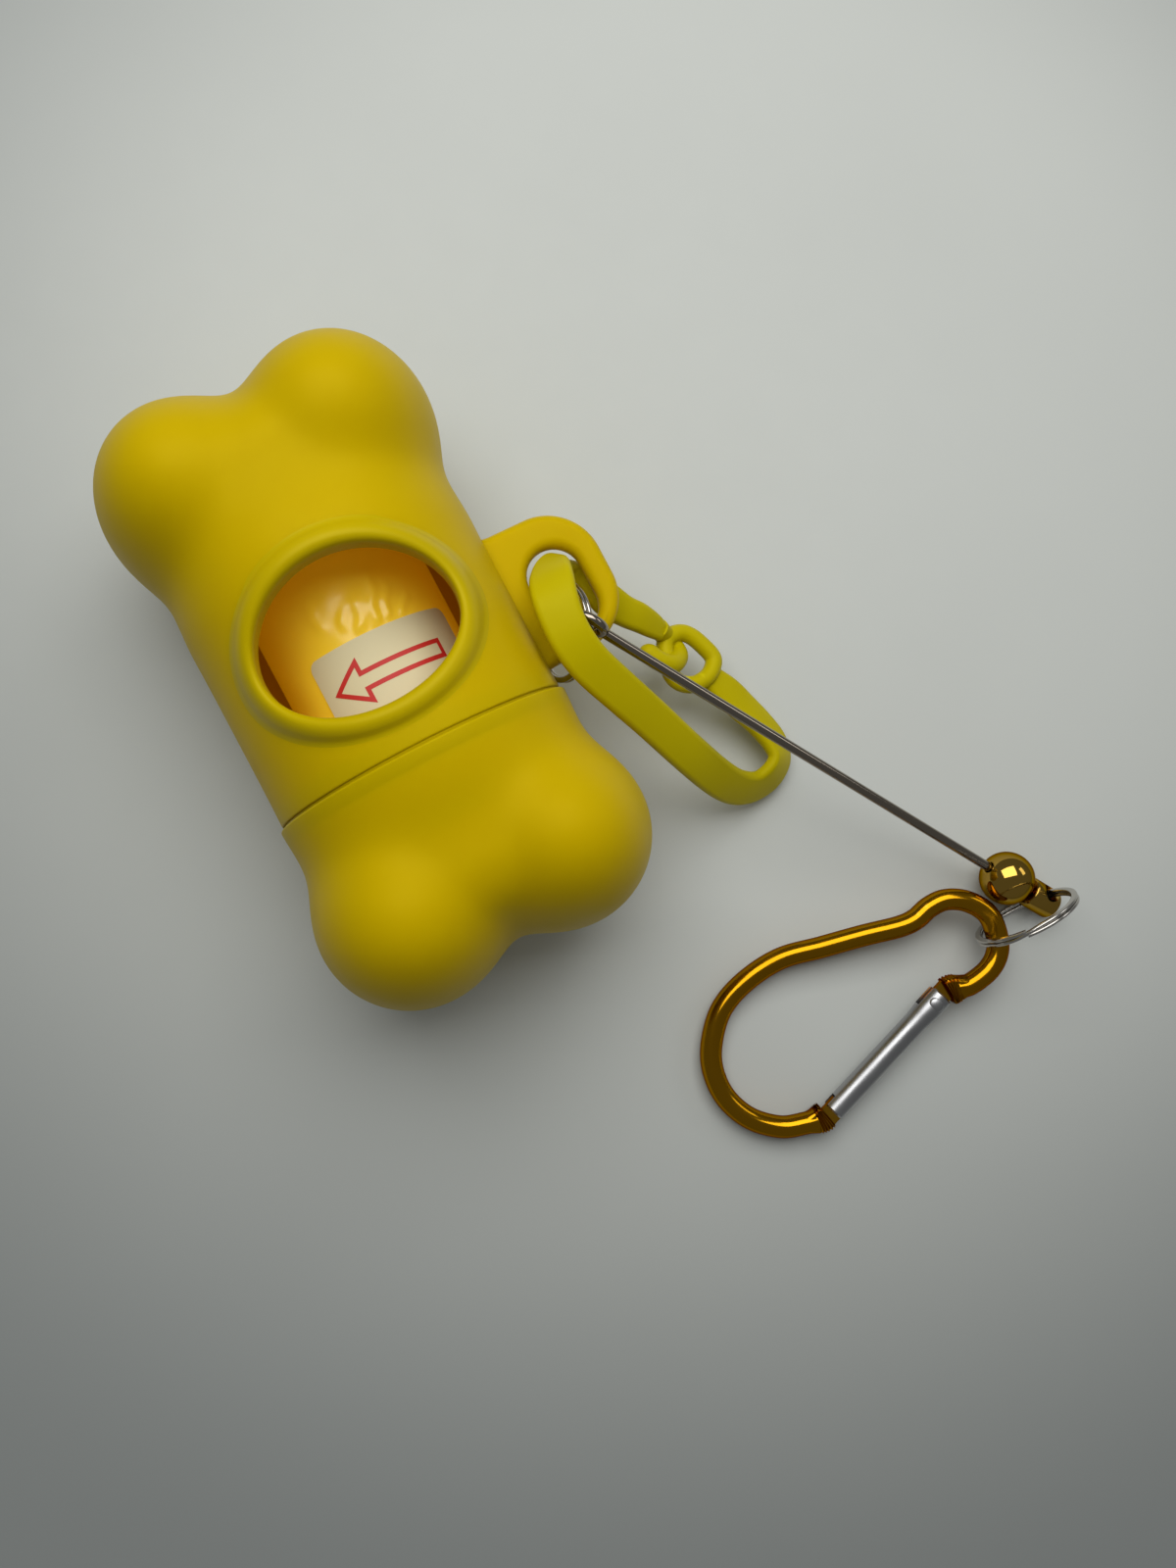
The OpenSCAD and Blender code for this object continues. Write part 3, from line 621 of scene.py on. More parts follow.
def buildEar():
    e = ear
    outer = ([(e["root"], -e["half"] - e["round"] - 0.5), (e["root"] + 2.2, -e["half"] - e["round"] - 0.1)]
             + arcPoints(e["out"], -e["half"], e["round"], -90, 0, 24)
             + arcPoints(e["out"], e["half"], e["round"], 0, 90, 24)
             + [(e["root"] + 2.2, e["half"] + e["round"] + 0.1), (e["root"], e["half"] + e["round"] + 0.5)])
    hole = (arcPoints(e["holeOut"], e["holeTo"], e["holeRound"], 0, 180, 28)
            + arcPoints(e["holeOut"], e["holeFrom"], e["holeRound"], 180, 360, 28))
    curve = bpy.data.curves.new("earCurve", "CURVE")
    curve.dimensions = "2D"
    curve.fill_mode = "BOTH"
    curve.bevel_depth = e["edge"]
    curve.bevel_resolution = 5
    curve.extrude = e["thick"] / 2 - e["edge"]
    curve.offset = -e["edge"]
    for points in (outer, hole):
        line = curve.splines.new("POLY")
        line.points.add(len(points) - 1)
        for k, (x, y) in enumerate(points):
            line.points[k].co = (x, y, 0, 1)
        line.use_cyclic_u = True
    bm = bmesh.new()
    bm.from_mesh(bakedMesh(addObject("earRaw", curve)))
    toMetres(bm)
    finishPiece("caseEar", bm, "case", materials["bone"], sharp=50)


buildEar()
print("window bead and ear made")


# ---- bag roll ----

roll = {"radius": 12.0, "wrap": 12.3, "length": 54.0, "core": 6.3, "coreWall": 1.0, "axisZ": -2.98,
        "edge": 0.4}


def rollPoint(turn, y, radius):
    return place((radius * math.sin(turn), y, roll["axisZ"] + radius * math.cos(turn)))


def buildRoll():
    r = roll
    half, out, edge, core = r["length"] / 2, r["radius"], r["edge"], r["core"] - 0.03
    film = [(r["core"], -half), (out - edge, -half), (out, -half + edge), (out, half - edge),
            (out - edge, half), (r["core"], half)]
    tube = [(core - r["coreWall"], -half), (core, -half), (core, half), (core - r["coreWall"], half)]
    for name, points, steps, finish, slotName, node in (
            ("filmRoll", film, 96, "film", "bag_film", "film_roll"),
            ("rollCore", tube, 64, "board", "core_board", "roll_core")):
        bm = bmesh.new()
        spunProfile(bm, points, steps)
        toMetres(bm, (0, 0, r["axisZ"]))
        finishPiece(name, bm, "roll", materials[finish], [node], sharp=35)


# a fold runs from a turn and a place along the roll to another, with its width and height
folds = [(0.02, 3.2, 0.22, 9.6, 0.9, 0.42), (0.16, 2.6, 0.40, 11.6, 0.75, 0.5),
         (0.30, 3.4, 0.52, 9.2, 0.6, 0.36), (-0.12, 4.6, 0.0, 8.4, 0.6, 0.26),
         (0.44, 3.0, 0.72, 7.4, 0.5, 0.24), (-0.3, 5.4, -0.36, 11.0, 0.9, 0.16)]
wrap = {"rows": 150, "sides": 240, "loose": 1.6, "sink": 0.12, "film": 0.08, "highest": 0.7}


def crinkle(turn, y):
    # soft folds of the loose outermost bag, pulled up beside the label
    lift = 0.0
    for fromTurn, fromY, toTurn, toY, wide, high in folds:
        ax, ay = turn * roll["wrap"] - fromTurn * roll["wrap"], y - fromY
        bx, by = (toTurn - fromTurn) * roll["wrap"], toY - fromY
        run = math.hypot(bx, by)
        along = (ax * bx + ay * by) / run
        across = (ax * by - ay * bx) / run + 0.18 * math.sin(along * 1.7 + fromTurn * 9)
        ends = min(1.0, max(0.0, along / 1.2)) * min(1.0, max(0.0, (run - along) / 2.4))
        lift += high * ends * math.exp(-(across / (wide * (0.7 + 0.08 * along))) ** 2)
    slow = 0.05 * math.sin(turn * 7 + 0.4 * y) * math.sin(y * 0.5 + 1.1)
    return min(lift, wrap["highest"]) + slow


def buildWrap():
    w = wrap
    half = roll["length"] / 2 - 1
    loops = []
    for i in range(w["rows"] + 1):
        y = -half + 2 * half * i / w["rows"]
        ring = []
        for k in range(w["sides"]):
            turn = 2 * math.pi * k / w["sides"]
            t = turn if turn <= math.pi else turn - 2 * math.pi
            radius = roll["wrap"] - w["sink"]
            if abs(t) < w["loose"]:
                onLabel = min(1.0, max(0.0, (labelGap(t, y) + 0.2) / 1.2))
                radius += crinkle(t, y) * onLabel * min(1.0, (w["loose"] - abs(t)) * 2)
            ring.append(rollPoint(turn, y, radius))
        loops.append(ring)
    bm = bmesh.new()
    skinLoops(bm, loops, caps=False)
    bmesh.ops.recalc_face_normals(bm, faces=bm.faces)
    bmesh.ops.solidify(bm, geom=bm.faces, thickness=w["film"] * mm)
    finishPiece("outerBag", bm, "roll", materials["film"], ["outer_bag"])


labelSettings = {"turnFrom": -0.63, "turnTo": 1.05, "yFrom": -6.8, "yTo": 3.6, "corner": 1.3, "radius": 12.4,
                 "lift": 0.06, "thick": 0.06, "arrowLift": 0.095}


def labelBox():
    # middle and half size in mm, with the label laid flat
    s = labelSettings
    return ((s["turnFrom"] + s["turnTo"]) / 2 * s["radius"], (s["yFrom"] + s["yTo"]) / 2,
            (s["turnTo"] - s["turnFrom"]) / 2 * s["radius"], (s["yTo"] - s["yFrom"]) / 2)


def labelGap(turn, y):
    # distance in mm outside the label's border
    cx, cy, hx, hy = labelBox()
    dx, dy = abs(turn * labelSettings["radius"] - cx) - hx, abs(y - cy) - hy
    return math.hypot(max(dx, 0), max(dy, 0)) + min(max(dx, dy), 0)


def buildLabel():
    s = labelSettings
    cx, cy, hx, hy = labelBox()
    bm = bmesh.new()
    bmesh.ops.create_grid(bm, x_segments=60, y_segments=40, size=1)
    for v in bm.verts:
        x, y = v.co.x * hx, v.co.y * hy
        qx, qy = abs(x) - hx + s["corner"], abs(y) - hy + s["corner"]
        if qx > 0 and qy > 0:
            scale = max(qx, qy) / math.hypot(qx, qy)
            x = math.copysign(hx - s["corner"] + qx * scale, x)
            y = math.copysign(hy - s["corner"] + qy * scale, y)
        v.co = rollPoint((x + cx) / s["radius"], y + cy, roll["wrap"] + s["lift"])
    bmesh.ops.recalc_face_normals(bm, faces=bm.faces)
    bmesh.ops.solidify(bm, geom=bm.faces, thickness=s["thick"] * mm)
    finishPiece("rollLabel", bm, "roll", materials["paper"], ["roll_label"], sharp=40)


arrow = {"tip": (-6.36, -1.55), "half": 1.3, "head": 4.6, "barb": 3.1, "tail": 9.35, "line": 0.58}


def buildArrow():
    a = arrow
    tx, ty = a["tip"]
    back = tx + a["head"]
    shape = [(tx, ty), (back, ty + a["barb"]), (back, ty + a["half"]), (a["tail"], ty + a["half"]),
             (a["tail"], ty - a["half"]), (back, ty - a["half"]), (back, ty - a["barb"])]
    bm = bmesh.new()
    outer = [bm.verts.new((x, y, 0)) for x, y in shape]
    face = bm.faces.new(outer)
    bm.normal_update()
    bmesh.ops.inset_region(bm, faces=[face], thickness=a["line"], depth=0, use_even_offset=True,
                           use_boundary=True)
    bmesh.ops.delete(bm, geom=[face], context="FACES_ONLY")
    bmesh.ops.subdivide_edges(bm, edges=bm.edges, cuts=8, use_grid_fill=True)
    for v in bm.verts:
        v.co = rollPoint(v.co.x / labelSettings["radius"], v.co.y, roll["wrap"] + labelSettings["arrowLift"])
    bmesh.ops.recalc_face_normals(bm, faces=bm.faces)
    finishPiece("labelArrow", bm, "roll", materials["ink"])


buildRoll()
buildWrap()
buildLabel()
buildArrow()
print("bag roll made")


# ---- strap ----

strap = {
    "thick": 1.9, "edge": 0.8, "steps": 8, "hookRadius": 1.45, "eyeBar": 1.25,
    "band": [
        (37.8, -10.9, -9.9, 0.74, 0.67, 0, 1.35), (36.9, -9.7, -8.6, 0.74, 0.67, 0, 1.8),
        (35.3, -8, -6.8, 0.74, 0.67, 0, 2.1), (33.6, -6.4, -5.5, 0.74, 0.67, 0, 2.2),
        (32, -4.2, -4.3, 0.8, 0.6, 0, 2.4), (31, -1.4, -4, 0.9, 0.4, 0, 2),
        (29.4, 1.2, -3.5, 0.9, -0.1, 0.3, 1.6), (27.9, 2.5, -1.9, 0.8, -0.5, 0.4, 1.5),
        (27.5, 2.7, 0.4, 0.8, -0.6, 0, 1.5), (26.7, 2.3, 2.6, 0.85, -0.4, 0, 1.9),
        (25.6, 1.3, 5.2, 0.9, -0.1, 0, 2.5), (24.5, -0.3, 7.3, 0.95, 0.1, 0, 2.9),
        (23.5, -2.9, 8.8, 1, 0, 0, 2.9),
        (23, -6, 9, 1, 0, 0, 2.8), (23.1, -9, 8.4, 1, 0.1, 0, 2.8), (24, -12.3, 6.8, 0.95, 0.25, 0, 2.8),
        (26.2, -16.6, 3.7, 0.9, 0.4, 0, 2.8), (28.8, -21.3, -0.2, 0.9, 0.45, 0, 2.8),
        (32.3, -27.9, -5.7, 0.88, 0.47, 0.1, 2.8), (35.4, -32.9, -10.8, 0.8, 0.5, 0.3, 2.8),
        (38, -35.7, -14.2, 0.62, 0.56, 0.55, 2.8), (41, -37, -16.3, 0.25, 0.6, 0.75, 2.8),
        (44.2, -36.6, -16.7, -0.1, 0.6, 0.8, 2.8), (46.4, -35, -16.7, -0.5, 0.4, 0.8, 2.7),
        (46.8, -32.4, -16.5, -0.75, 0, 0.66, 2.6), (46, -29.1, -16, -0.8, -0.1, 0.6, 2.6),
        (44.7, -25.8, -15.3, -0.85, -0.2, 0.5, 2.6), (43.3, -22.6, -14.3, -0.9, -0.3, 0.3, 2.4),
        (41.7, -19.3, -13.2, -0.93, -0.3, 0.2, 1.8)],
    "hook": [(37.7, -10.3, -9.6), (38.7, -11.7, -12.2), (39.3, -13.4, -13.2), (38.9, -15, -12),
             (37.1, -15.7, -9.8), (35.5, -14.7, -8.7), (34.5, -13, -8.4), (34.2, -11.6, -8.6)],
    "eye": [(38.1, -12.3, -11.5), (39.6, -11.8, -12), (41.2, -12.2, -12.5), (42.3, -13.4, -12.8),
            (43.1, -15.2, -13), (43.6, -16.9, -13.1), (43.4, -18, -13), (42.2, -19.1, -12.6),
            (40.8, -19.6, -12.2), (39, -19.6, -11.7), (37.4, -18.8, -11.2), (36.6, -17.4, -11),
            (36.7, -15.7, -11.1), (37.2, -13.9, -11.2)],
    "eyeDir": (0.28, 0.02, 0.95),
}


def bandLoops(rows, thick, edge):
    # a row is a point, the direction of the band's width and its half width
    rows = smoothRows(rows, strap["steps"])
    points = [r[:3] for r in rows]
    loops = []
    for i, row in enumerate(rows):
        t = courseOf(points, i)
        w = row[3:6] - t * (row[3:6] @ t)
        w /= np.linalg.norm(w)
        loops.append(roundedSection(row[:3], w, np.cross(t, w), row[6], thick / 2, edge, (0, 30, 60, 90)))
    return loops


def buildStrap():
    s = strap
    bm = bmesh.new()
    skinLoops(bm, bandLoops(s["band"], s["thick"], s["edge"]))
    points = smoothRows(s["hook"], 8)
    run = np.cumsum([0.0] + [np.linalg.norm(points[i + 1] - points[i]) for i in range(len(points) - 1)])
    radii = []
    for r in run:
        short = max(0, 1 - (run[-1] - r) / s["hookRadius"])  # the tip is half a ball
        radii.append(s["hookRadius"] * math.sqrt(max(1 - short ** 2, 0.02)))
    skinLoops(bm, tubeLoops(points, radii, 24))
    eye = smoothRows(s["eye"], 7, closed=True)
    skinLoops(bm, tubeLoops(eye, s["eyeBar"], 24, closed=True, up=s["eyeDir"]), closed=True)
    finishPiece("earStrap", bm, "strap", materials["strap"], ["ear_strap"], sharp=60)


buildStrap()
print("strap made")


# ---- rings ----

earRing = {"centre": (24.03, -5.77, -1.23), "dir": (-0.825, 0.357, 0.439), "radius": 6.35, "start": 200.0}
rod = {"eye": np.array((26.5, -7.1, 4.7)), "stud": np.array((71.966, -72.244, -17.328)),
       "eyeDir": (-0.8, -0.592, 0.099), "eyeRadius": 2.15, "radius": 0.7, "ball": 4.0, "gap": 0.3,
       "studRadius": 2.3, "studLength": 5.0, "studEdge": 0.35, "cross": 1.4, "crossLong": 10,
       "crossDir": (0.693, 0.008, 0.721), "ballFit": 0.08}
crossAt = rod["stud"]
studFrom = float(np.linalg.norm(crossAt - rod["eye"])) - rod["studLength"] / 2
rod["dir"] = (crossAt - rod["eye"]) / np.linalg.norm(crossAt - rod["eye"])
rod["length"] = studFrom - rod["gap"] - math.sqrt(rod["ball"] ** 2 - rod["radius"] ** 2)
hookRing = {"centre": crossAt + 7.2 * np.array((-0.721, -0.035, 0.692)), "dir": (-0.031, 0.999, 0.018),
            "radius": 7.4, "start": 60.0}
coil = {"high": 0.52, "wide": 0.86, "gap": 0.3, "cross": 50.0, "edge": 0.18, "steps": 260}


def splitRing(name, ring, body, node):
    # two flat turns of wire that change places over a short stretch
    c = coil
    u, v, w = (np.array(q) for q in basisFor(ring["dir"]))
    loops = []
    for i in range(c["steps"] + 1):
        a = 720.0 * i / c["steps"]
        side = -1 + 2 * min(max((a - 360 + c["cross"] / 2) / c["cross"], 0), 1)
        side = math.sin(side * math.pi / 2)
        ang = math.radians(ring["start"] + a)
        out = math.cos(ang) * u + math.sin(ang) * v
        centre = np.array(ring["centre"]) + ring["radius"] * out + side * c["gap"] * w
        loops.append(roundedSection(centre, out, w, c["wide"] / 2, c["high"] / 2, c["edge"], (0, 45, 90)))
    bm = bmesh.new()
    skinLoops(bm, loops)
    finishPiece(name, bm, body, materials["ringSteel"], [node], sharp=50)


splitRing("earRing", earRing, "ear_ring", "ear_ring")
splitRing("hookRing", hookRing, "hook_ring", "hook_ring")


# ---- bead rod, ball and stud ----

def buildRod():
    r = rod
    bm = bmesh.new()
    u, v = (np.array(q) for q in basisFor(r["eyeDir"])[:2])
    ringPoints = [r["eye"] + r["eyeRadius"] * (math.cos(a) * u + math.sin(a) * v)
                  for a in np.linspace(0, 2 * math.pi, 64, endpoint=False)]
    skinLoops(bm, tubeLoops(ringPoints, r["radius"], 20, closed=True, up=r["eyeDir"]), closed=True)
    shaft = [r["eye"] + r["dir"] * d for d in np.linspace(r["eyeRadius"], studFrom + 0.9, 30)]
    skinLoops(bm, tubeLoops(shaft, r["radius"], 28))
    finishPiece("beadRod", bm, "rod", materials["rodSteel"], ["bead_rod"], sharp=50)

    bm = bmesh.new()
    at, half = r["length"], r["ball"]
    hole = r["radius"] + r["ballFit"]
    start = math.asin((hole + 0.25) / half)
    rings = [half * math.sin(a) for a in np.linspace(start, math.pi - start, 64)]
    alongs = [-half * math.cos(a) for a in np.linspace(start, math.pi - start, 64)]
    lip = alongs[-1] - 0.18
    radii = [hole, hole + 0.08] + rings + [hole + 0.08, hole]
    places = [-lip, alongs[0] + 0.06] + alongs + [alongs[-1] - 0.06, lip]
    path = [r["eye"] + r["dir"] * (at + d) for d in places]
    u, v = (np.array(q) for q in basisFor(r["dir"])[:2])
    turns = np.linspace(0, 2 * math.pi, 96, endpoint=False)
    loops = [[place(p + q * (math.cos(a) * u + math.sin(a) * v)) for a in turns] for p, q in zip(path, radii)]
    skinLoops(bm, loops, closed=True)
    finishPiece("ballBead", bm, "ball", materials["goldPlate"], ["ball_bead"], sharp=50)

    bm = bmesh.new()
    addCylinder(bm, r["studRadius"], r["studLength"], 96)
    rims = [e for e in bm.edges if abs(e.verts[0].co.z - e.verts[1].co.z) < tiny]
    bmesh.ops.bevel(bm, geom=rims, offset=r["studEdge"], offset_type="OFFSET", segments=4, profile=0.5,
                    affect="EDGES", material=-1)
    stud = looseObject("studRaw", bm)
    stud.data.transform(aimMatrix(crossAt, r["dir"]))
    bm = bmesh.new()
    addCylinder(bm, r["cross"], r["crossLong"], 64)
    bmesh.ops.transform(bm, matrix=aimMatrix(crossAt, r["crossDir"]), verts=bm.verts)
    drill = looseObject("studDrill", bm)
    cutWith(stud, drill)
    soft = stud.modifiers.new("soft", "BEVEL")
    soft.width = 0.12
    soft.segments = 2
    soft.angle_limit = math.radians(40)
    mesh = toRow(bakedMesh(stud, drill))
    finishMesh("rodStud", mesh, "rod", materials["goldPlate"], ["rod_stud"], 35)


buildRod()
print("rod, ball and stud made")


# ---- snap hook ----

hook = {
    "at": (39.59, -73, -16.46), "tilt": 4.4, "radius": 1.62, "rivet": (9.7, -4.6), "gateTurn": -161.6,
    "wire": [(-13.57, -11.51), (-15.37, -11.11), (-18.87, -9.81), (-22.27, -6.51), (-23.97, -2.11),
             (-23.67, 2.39), (-21.87, 5.99), (-18.37, 9.49), (-13.47, 11.39), (-7.3, 11.9), (-1.1, 10.5),
             (5.1, 9.1), (10.5, 7.7), (13.2, 7.5), (15.9, 8.1), (18.6, 7.9), (21.3, 6.2), (23.1, 3.3),
             (23, 0.2), (21.8, -2.5), (19.4, -4.2), (15.9, -4.8), (13.9, -4.3)],
    "rivetEnd": [(-2.65, 0.4, 1.95, 1.5, 6), (-3.3, 0.6, 2.0, 1.5, 5), (-4.08, 1.04, 1.9, 1.5, 4),
                 (-4.95, 1.58, 1.65, 1.5, 3), (-5.82, 2.15, 1.52, 1.5, 2)],
    "noseEnd": [(22.75, -0.4, 1.85, 1.5, 6), (23.5, -0.5, 1.95, 1.5, 5), (24.3, -0.8, 1.85, 1.5, 4),
                (25.05, -1.22, 1.65, 1.5, 3), (25.84, -1.74, 1.52, 1.5, 2)],
    "ribs": 6, "ribDepth": 0.06, "ribbed": 0.55,
}
gate = {"radius": 1.7, "bore": 1.1, "length": 21.8, "slot": 0.8, "tang": 1.4, "tangThick": 1.0, "gap": 0.3,
        "noseIn": 1.6, "nosePast": 2.2, "tangPast": 3.4, "rivet": 0.6, "rivetHead": 1.15, "plunger": 1.02,
        "plungerLength": 3.0, "chamfer": 0.15, "wire": 0.16, "spring": 9.0, "turns": 9, "perTurn": 28}
hookTilt = Matrix.Rotation(math.radians(-hook["tilt"]), 4, "Y")
hookPlace = Matrix.Translation(boneMiddle + Vector(hook["at"])) @ hookTilt
gateTurn = Matrix.Rotation(math.radians(hook["gateTurn"]), 4, "Z")
gatePlace = hookPlace @ Matrix.Translation((*hook["rivet"], 0)) @ gateTurn


def localTube(bm, points, radius, sides, matrix):
    loops = tubeLoops(points, radius, sides, up=(0, 0, 1))
    back = Matrix.Scale(mm, 4) @ matrix @ Matrix.Translation(-boneMiddle) @ Matrix.Scale(1 / mm, 4)
    skinLoops(bm, [[back @ p for p in ring] for ring in loops])


def flaredEnd(bm, rows, matrix):
    # the wire's end is pressed wide, with fine ribs across
    # a row is x, y, half width, half thickness and squareness
    h = hook
    rows = smoothRows(rows, 14)
    loops = []
    for i, row in enumerate(rows):
        t = courseOf([np.array((r[0], r[1], 0)) for r in rows], i)
        side = np.array((-t[1], t[0], 0))
        share = i / (len(rows) - 1)
        wave = math.sin(share * h["ribs"] * 2 * math.pi / h["ribbed"]) if share < h["ribbed"] else 0
        rib = 1 + h["ribDepth"] * wave
        edge = 0.86 if i == 0 else (0.96 if i == 1 else 1.0)
        power = 2 / row[4]
        ring = []
        for a in np.linspace(0, 2 * math.pi, 48, endpoint=False):
            c, d = math.cos(a), math.sin(a)
            wide = row[2] * edge * rib * math.copysign(abs(c) ** power, c)
            thick = row[3] * edge * rib * math.copysign(abs(d) ** power, d)
            p = np.array((row[0], row[1], 0)) + side * wide + np.array((0, 0, 1)) * thick
            ring.append((matrix @ Vector(p)) * mm)
        loops.append(ring)
    skinLoops(bm, loops)


def buildHook():
    h, g = hook, gate
    bm = bmesh.new()
    wire = [(p[0], p[1], 0) for p in smoothRows(h["wire"], 10)]
    localTube(bm, wire, h["radius"], 32, hookPlace)
    for rows in (h["rivetEnd"], h["noseEnd"]):
        flaredEnd(bm, rows, gatePlace)
    tangs = addBox(bm, -g["tangPast"], 0, 2 * g["tang"], g["tangThick"])
    tangs += addCylinder(bm, g["tang"], g["tangThick"], 48)
    tangs += addBox(bm, g["length"] - g["noseIn"], g["length"] + g["nosePast"], 2 * g["tang"], g["tangThick"])
    bmesh.ops.transform(bm, matrix=Matrix.Scale(mm, 4) @ gatePlace, verts=tangs)
    finishPiece("hookFrame", bm, "hook", materials["goldAnodised"], ["hook_frame"],
                sharp=50)


def slottedTube():
    g = gate
    bm = bmesh.new()
    out, end, slotEnd = g["radius"], g["length"], g["tang"] + g["gap"]
    flare = out + 0.22
    spunProfile(bm, [(-1.7, 0.02), (-1.7, flare - 0.25), (-1.45, flare), (1.2, flare), (2.4, out + 0.12),
                     (3.8, out), (end - 0.25, out), (end, out - 0.25), (end, 0.02)], 64, (1, 0, 0))
    bmesh.ops.recalc_face_normals(bm, faces=bm.faces)
    tube = looseObject("gateRaw", bm)
    cutters = []
    for x0, x1 in ((-3, slotEnd), (end - g["noseIn"] - g["gap"], end + 1)):
        bm = bmesh.new()
        addBox(bm, x0, x1, 6, 2 * g["slot"])
        cutters.append(looseObject("gateCut", bm))
    bm = bmesh.new()
    start, stop = slotEnd - 0.1, slotEnd + g["plungerLength"] + g["spring"]
    addCylinder(bm, g["bore"], stop - start, 48)
    bmesh.ops.rotate(bm, cent=(0, 0, 0), matrix=Matrix.Rotation(math.pi / 2, 3, "Y"), verts=bm.verts)
    bmesh.ops.translate(bm, vec=((start + stop) / 2, 0, 0), verts=bm.verts)
    cutters.append(looseObject("gateBore", bm))
    cutWith(tube, *cutters)
    mesh = bakedMesh(tube, *cutters)
    mesh.transform(Matrix.Scale(mm, 4) @ gatePlace)
    return mesh


def buildGate():
    g = gate
    finishMesh("hookGate", slottedTube(), "gate", materials["gateMetal"], ["hook_gate"], 35)
    bm = bmesh.new()
    addCylinder(bm, g["rivet"], 2 * g["radius"] - 0.1, 40)
    for s in (-1, 1):
        head = bmesh.ops.create_uvsphere(bm, u_segments=40, v_segments=20, radius=g["rivetHead"])["verts"]
        bmesh.ops.scale(bm, vec=(1, 1, 0.45), verts=head)
        bmesh.ops.translate(bm, vec=(0, 0, s * (g["radius"] - 0.18)), verts=head)
    bmesh.ops.transform(bm, matrix=Matrix.Scale(mm, 4) @ gatePlace, verts=bm.verts)
    finishPiece("gateRivet", bm, "gate", materials["gateMetal"], ["gate_rivet"], sharp=40)
    bm = bmesh.new()
    start, chamfer = g["tang"] + g["gap"], g["chamfer"]
    stop = start + g["plungerLength"]
    pin = [(x, 0, 0) for x in (start, start + chamfer, stop - chamfer, stop)]
    radii = [g["plunger"] - chamfer, g["plunger"], g["plunger"], g["plunger"] - chamfer]
    localTube(bm, pin, radii, 32, gatePlace)
    finishPiece("gatePlunger", bm, "gate", materials["ringSteel"], ["gate_plunger"], sharp=40)
    bm = bmesh.new()
    mean, steps = g["bore"] - g["wire"] - 0.06, g["turns"] * g["perTurn"]
    x0 = start + g["plungerLength"] + g["wire"]
    run = g["spring"] - 2 * g["wire"] - 0.04
    path = []
    for i in range(steps + 1):
        a = 2 * math.pi * i / g["perTurn"]
        path.append((x0 + run * i / steps, mean * math.cos(a), mean * math.sin(a)))
    localTube(bm, path, g["wire"], 10, gatePlace)
    finishPiece("gateSpring", bm, "gate", materials["ringSteel"], ["gate_spring"])


buildHook()
buildGate()
print("snap hook made")


# ---- camera, light and floor ----

camera = {"height": 147.591, "x": 0.035, "y": -26.155, "turn": 0.484, "pitch": 0.060, "roll": -0.100,
          "lens": 1156 / 1600 * 36}


def setCamera():
    c = camera
    data = bpy.data.cameras.new("camera")
    data.lens = c["lens"]
    data.sensor_width = 36
    data.clip_start = 0.005
    data.clip_end = 20
    obj = addObject("camera", data)
    cosine, sine = math.cos(c["turn"]), math.sin(c["turn"])
    base = Matrix(((cosine, sine, 0), (-sine, cosine, 0), (0, 0, 1)))
    turn = base @ Matrix.Rotation(c["pitch"], 3, "X") @ Matrix.Rotation(c["roll"], 3, "Y")
    obj.matrix_world = Matrix.Translation(place((c["x"], c["y"], c["height"]))) @ turn.to_4x4()
    bpy.context.scene.camera = obj


light = {"world": (0.96, 0.98, 0.97), "shine": 0.13, "backdrop": 0.16, "aim": (0, -0.01, 0),
         "lamps": [dict(name="topLamp", at=(0.04, 0.13, 0.28), size=(0.34, 0.24), power=0.85,
                        colour=(1.0, 1.0, 0.98)),
                   dict(name="rightLamp", at=(0.32, -0.02, 0.22), size=(0.16, 0.09), power=0.08,
                        colour=(1.0, 1.0, 1.0))]}


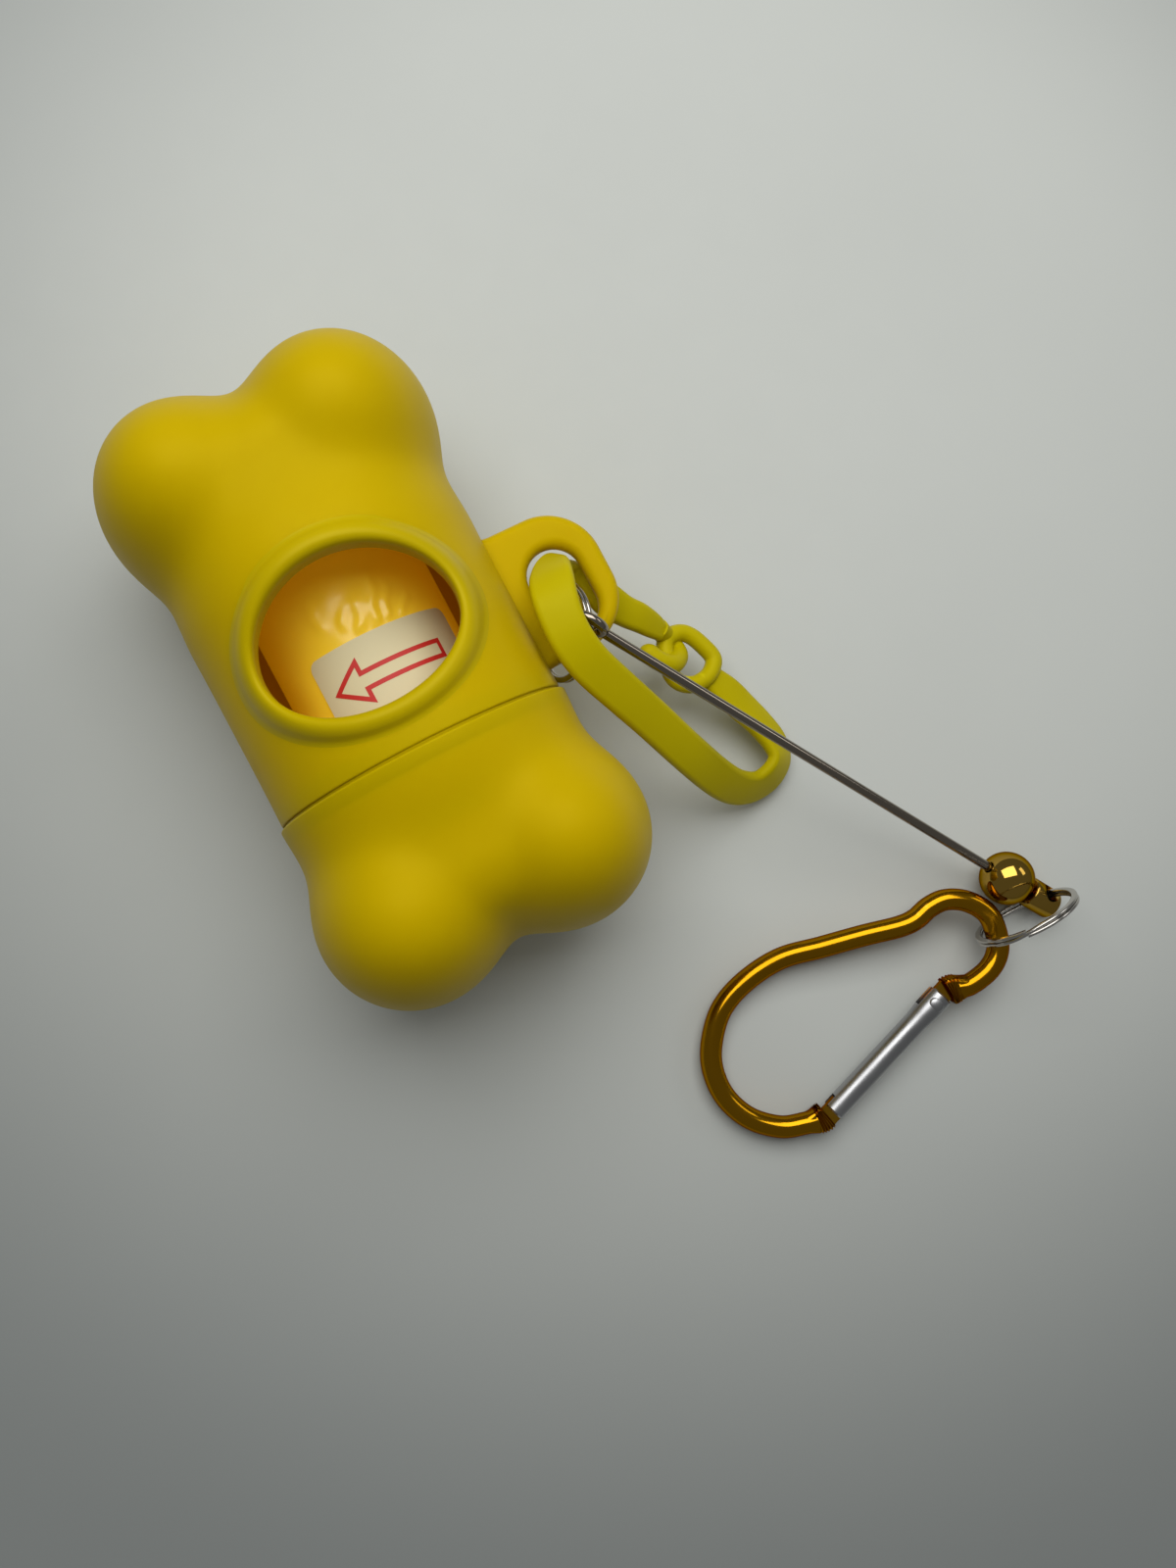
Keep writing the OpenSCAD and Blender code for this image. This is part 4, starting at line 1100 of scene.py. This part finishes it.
def setLights():
    world = bpy.data.worlds.new("studio")
    bpy.context.scene.world = world
    world.use_nodes = True
    tree = world.node_tree
    rays = addNode(tree, "LightPath").outputs  # what is seen directly is the pale backdrop
    seen = rays["Is Camera Ray"]
    for kind in ("Is Glossy Ray", "Is Transmission Ray"):
        seen = mathOf(tree, "MAXIMUM", seen, rays[kind])
    level = addNode(tree, "MapRange", {"Value": seen, "To Min": light["shine"], "To Max": light["backdrop"]})
    feed(tree, tree.nodes["Background"], {"Color": (*light["world"], 1), "Strength": level.outputs["Result"]})
    for lamp in light["lamps"]:
        data = bpy.data.lights.new(lamp["name"], "AREA")
        data.shape = "RECTANGLE"
        data.size, data.size_y = lamp["size"]
        data.energy = lamp["power"]
        data.color = lamp["colour"]
        obj = addObject(lamp["name"], data)
        obj.location = lamp["at"]
        obj.visible_camera = False
        aim = Vector(light["aim"]) - Vector(lamp["at"])
        obj.rotation_euler = aim.to_track_quat("-Z", "Y").to_euler()


# painted shade: the floor's colour darkens with distance from a spot near the object, standing in for the
# lamp's falloff
floor = {"size": 2.0, "paintedShade": srgb(150, 154, 153), "paintedLightCentre": (0.038, 0.033, 0),
         "near": 0.068, "far": 0.182,
         "finish": dict(colour=srgb(206, 209, 205), other=srgb(201, 204, 200), rough=(0.6, 0.72), bump=0.1,
                        grainScale=700.0, driftScale=14.0, bumpDepth=0.00006,
                        specks=dict(group=dict(Scale=60.0, Size=0.03, Share=0.04),
                                    colour=srgb(150, 150, 146)),
                        shader={"Specular IOR Level": 0.25})}


def setFloor():
    mat = makeMaterial("tableTop", floor["finish"])
    tree = mat.node_tree
    shader = tree.nodes["Principled BSDF"]
    at = addNode(tree, "TexCoord").outputs["Object"]
    # painted pool of light: the floor's colour is mixed towards a darker grey away from this spot
    apart = addNode(tree, "VectorMath", {0: at, 1: floor["paintedLightCentre"]}, operation="DISTANCE")
    fade = addNode(tree, "MapRange", {"Value": apart.outputs["Value"], "From Min": floor["near"],
                                      "From Max": floor["far"]}, interpolation_type="SMOOTHSTEP")
    plain = shader.inputs["Base Color"].links[0].from_socket
    feed(tree, shader, {"Base Color": mixColours(tree, fade.outputs["Result"], plain, floor["paintedShade"])})
    bm = bmesh.new()
    bmesh.ops.create_grid(bm, x_segments=2, y_segments=2, size=floor["size"])
    mesh = meshFrom("tableTop", bm)
    mesh.materials.append(mat)
    obj = addObject("tableTop", mesh)


setCamera()
setLights()
setFloor()
bpy.context.scene.view_settings.view_transform = "Standard"

print("scene ready")
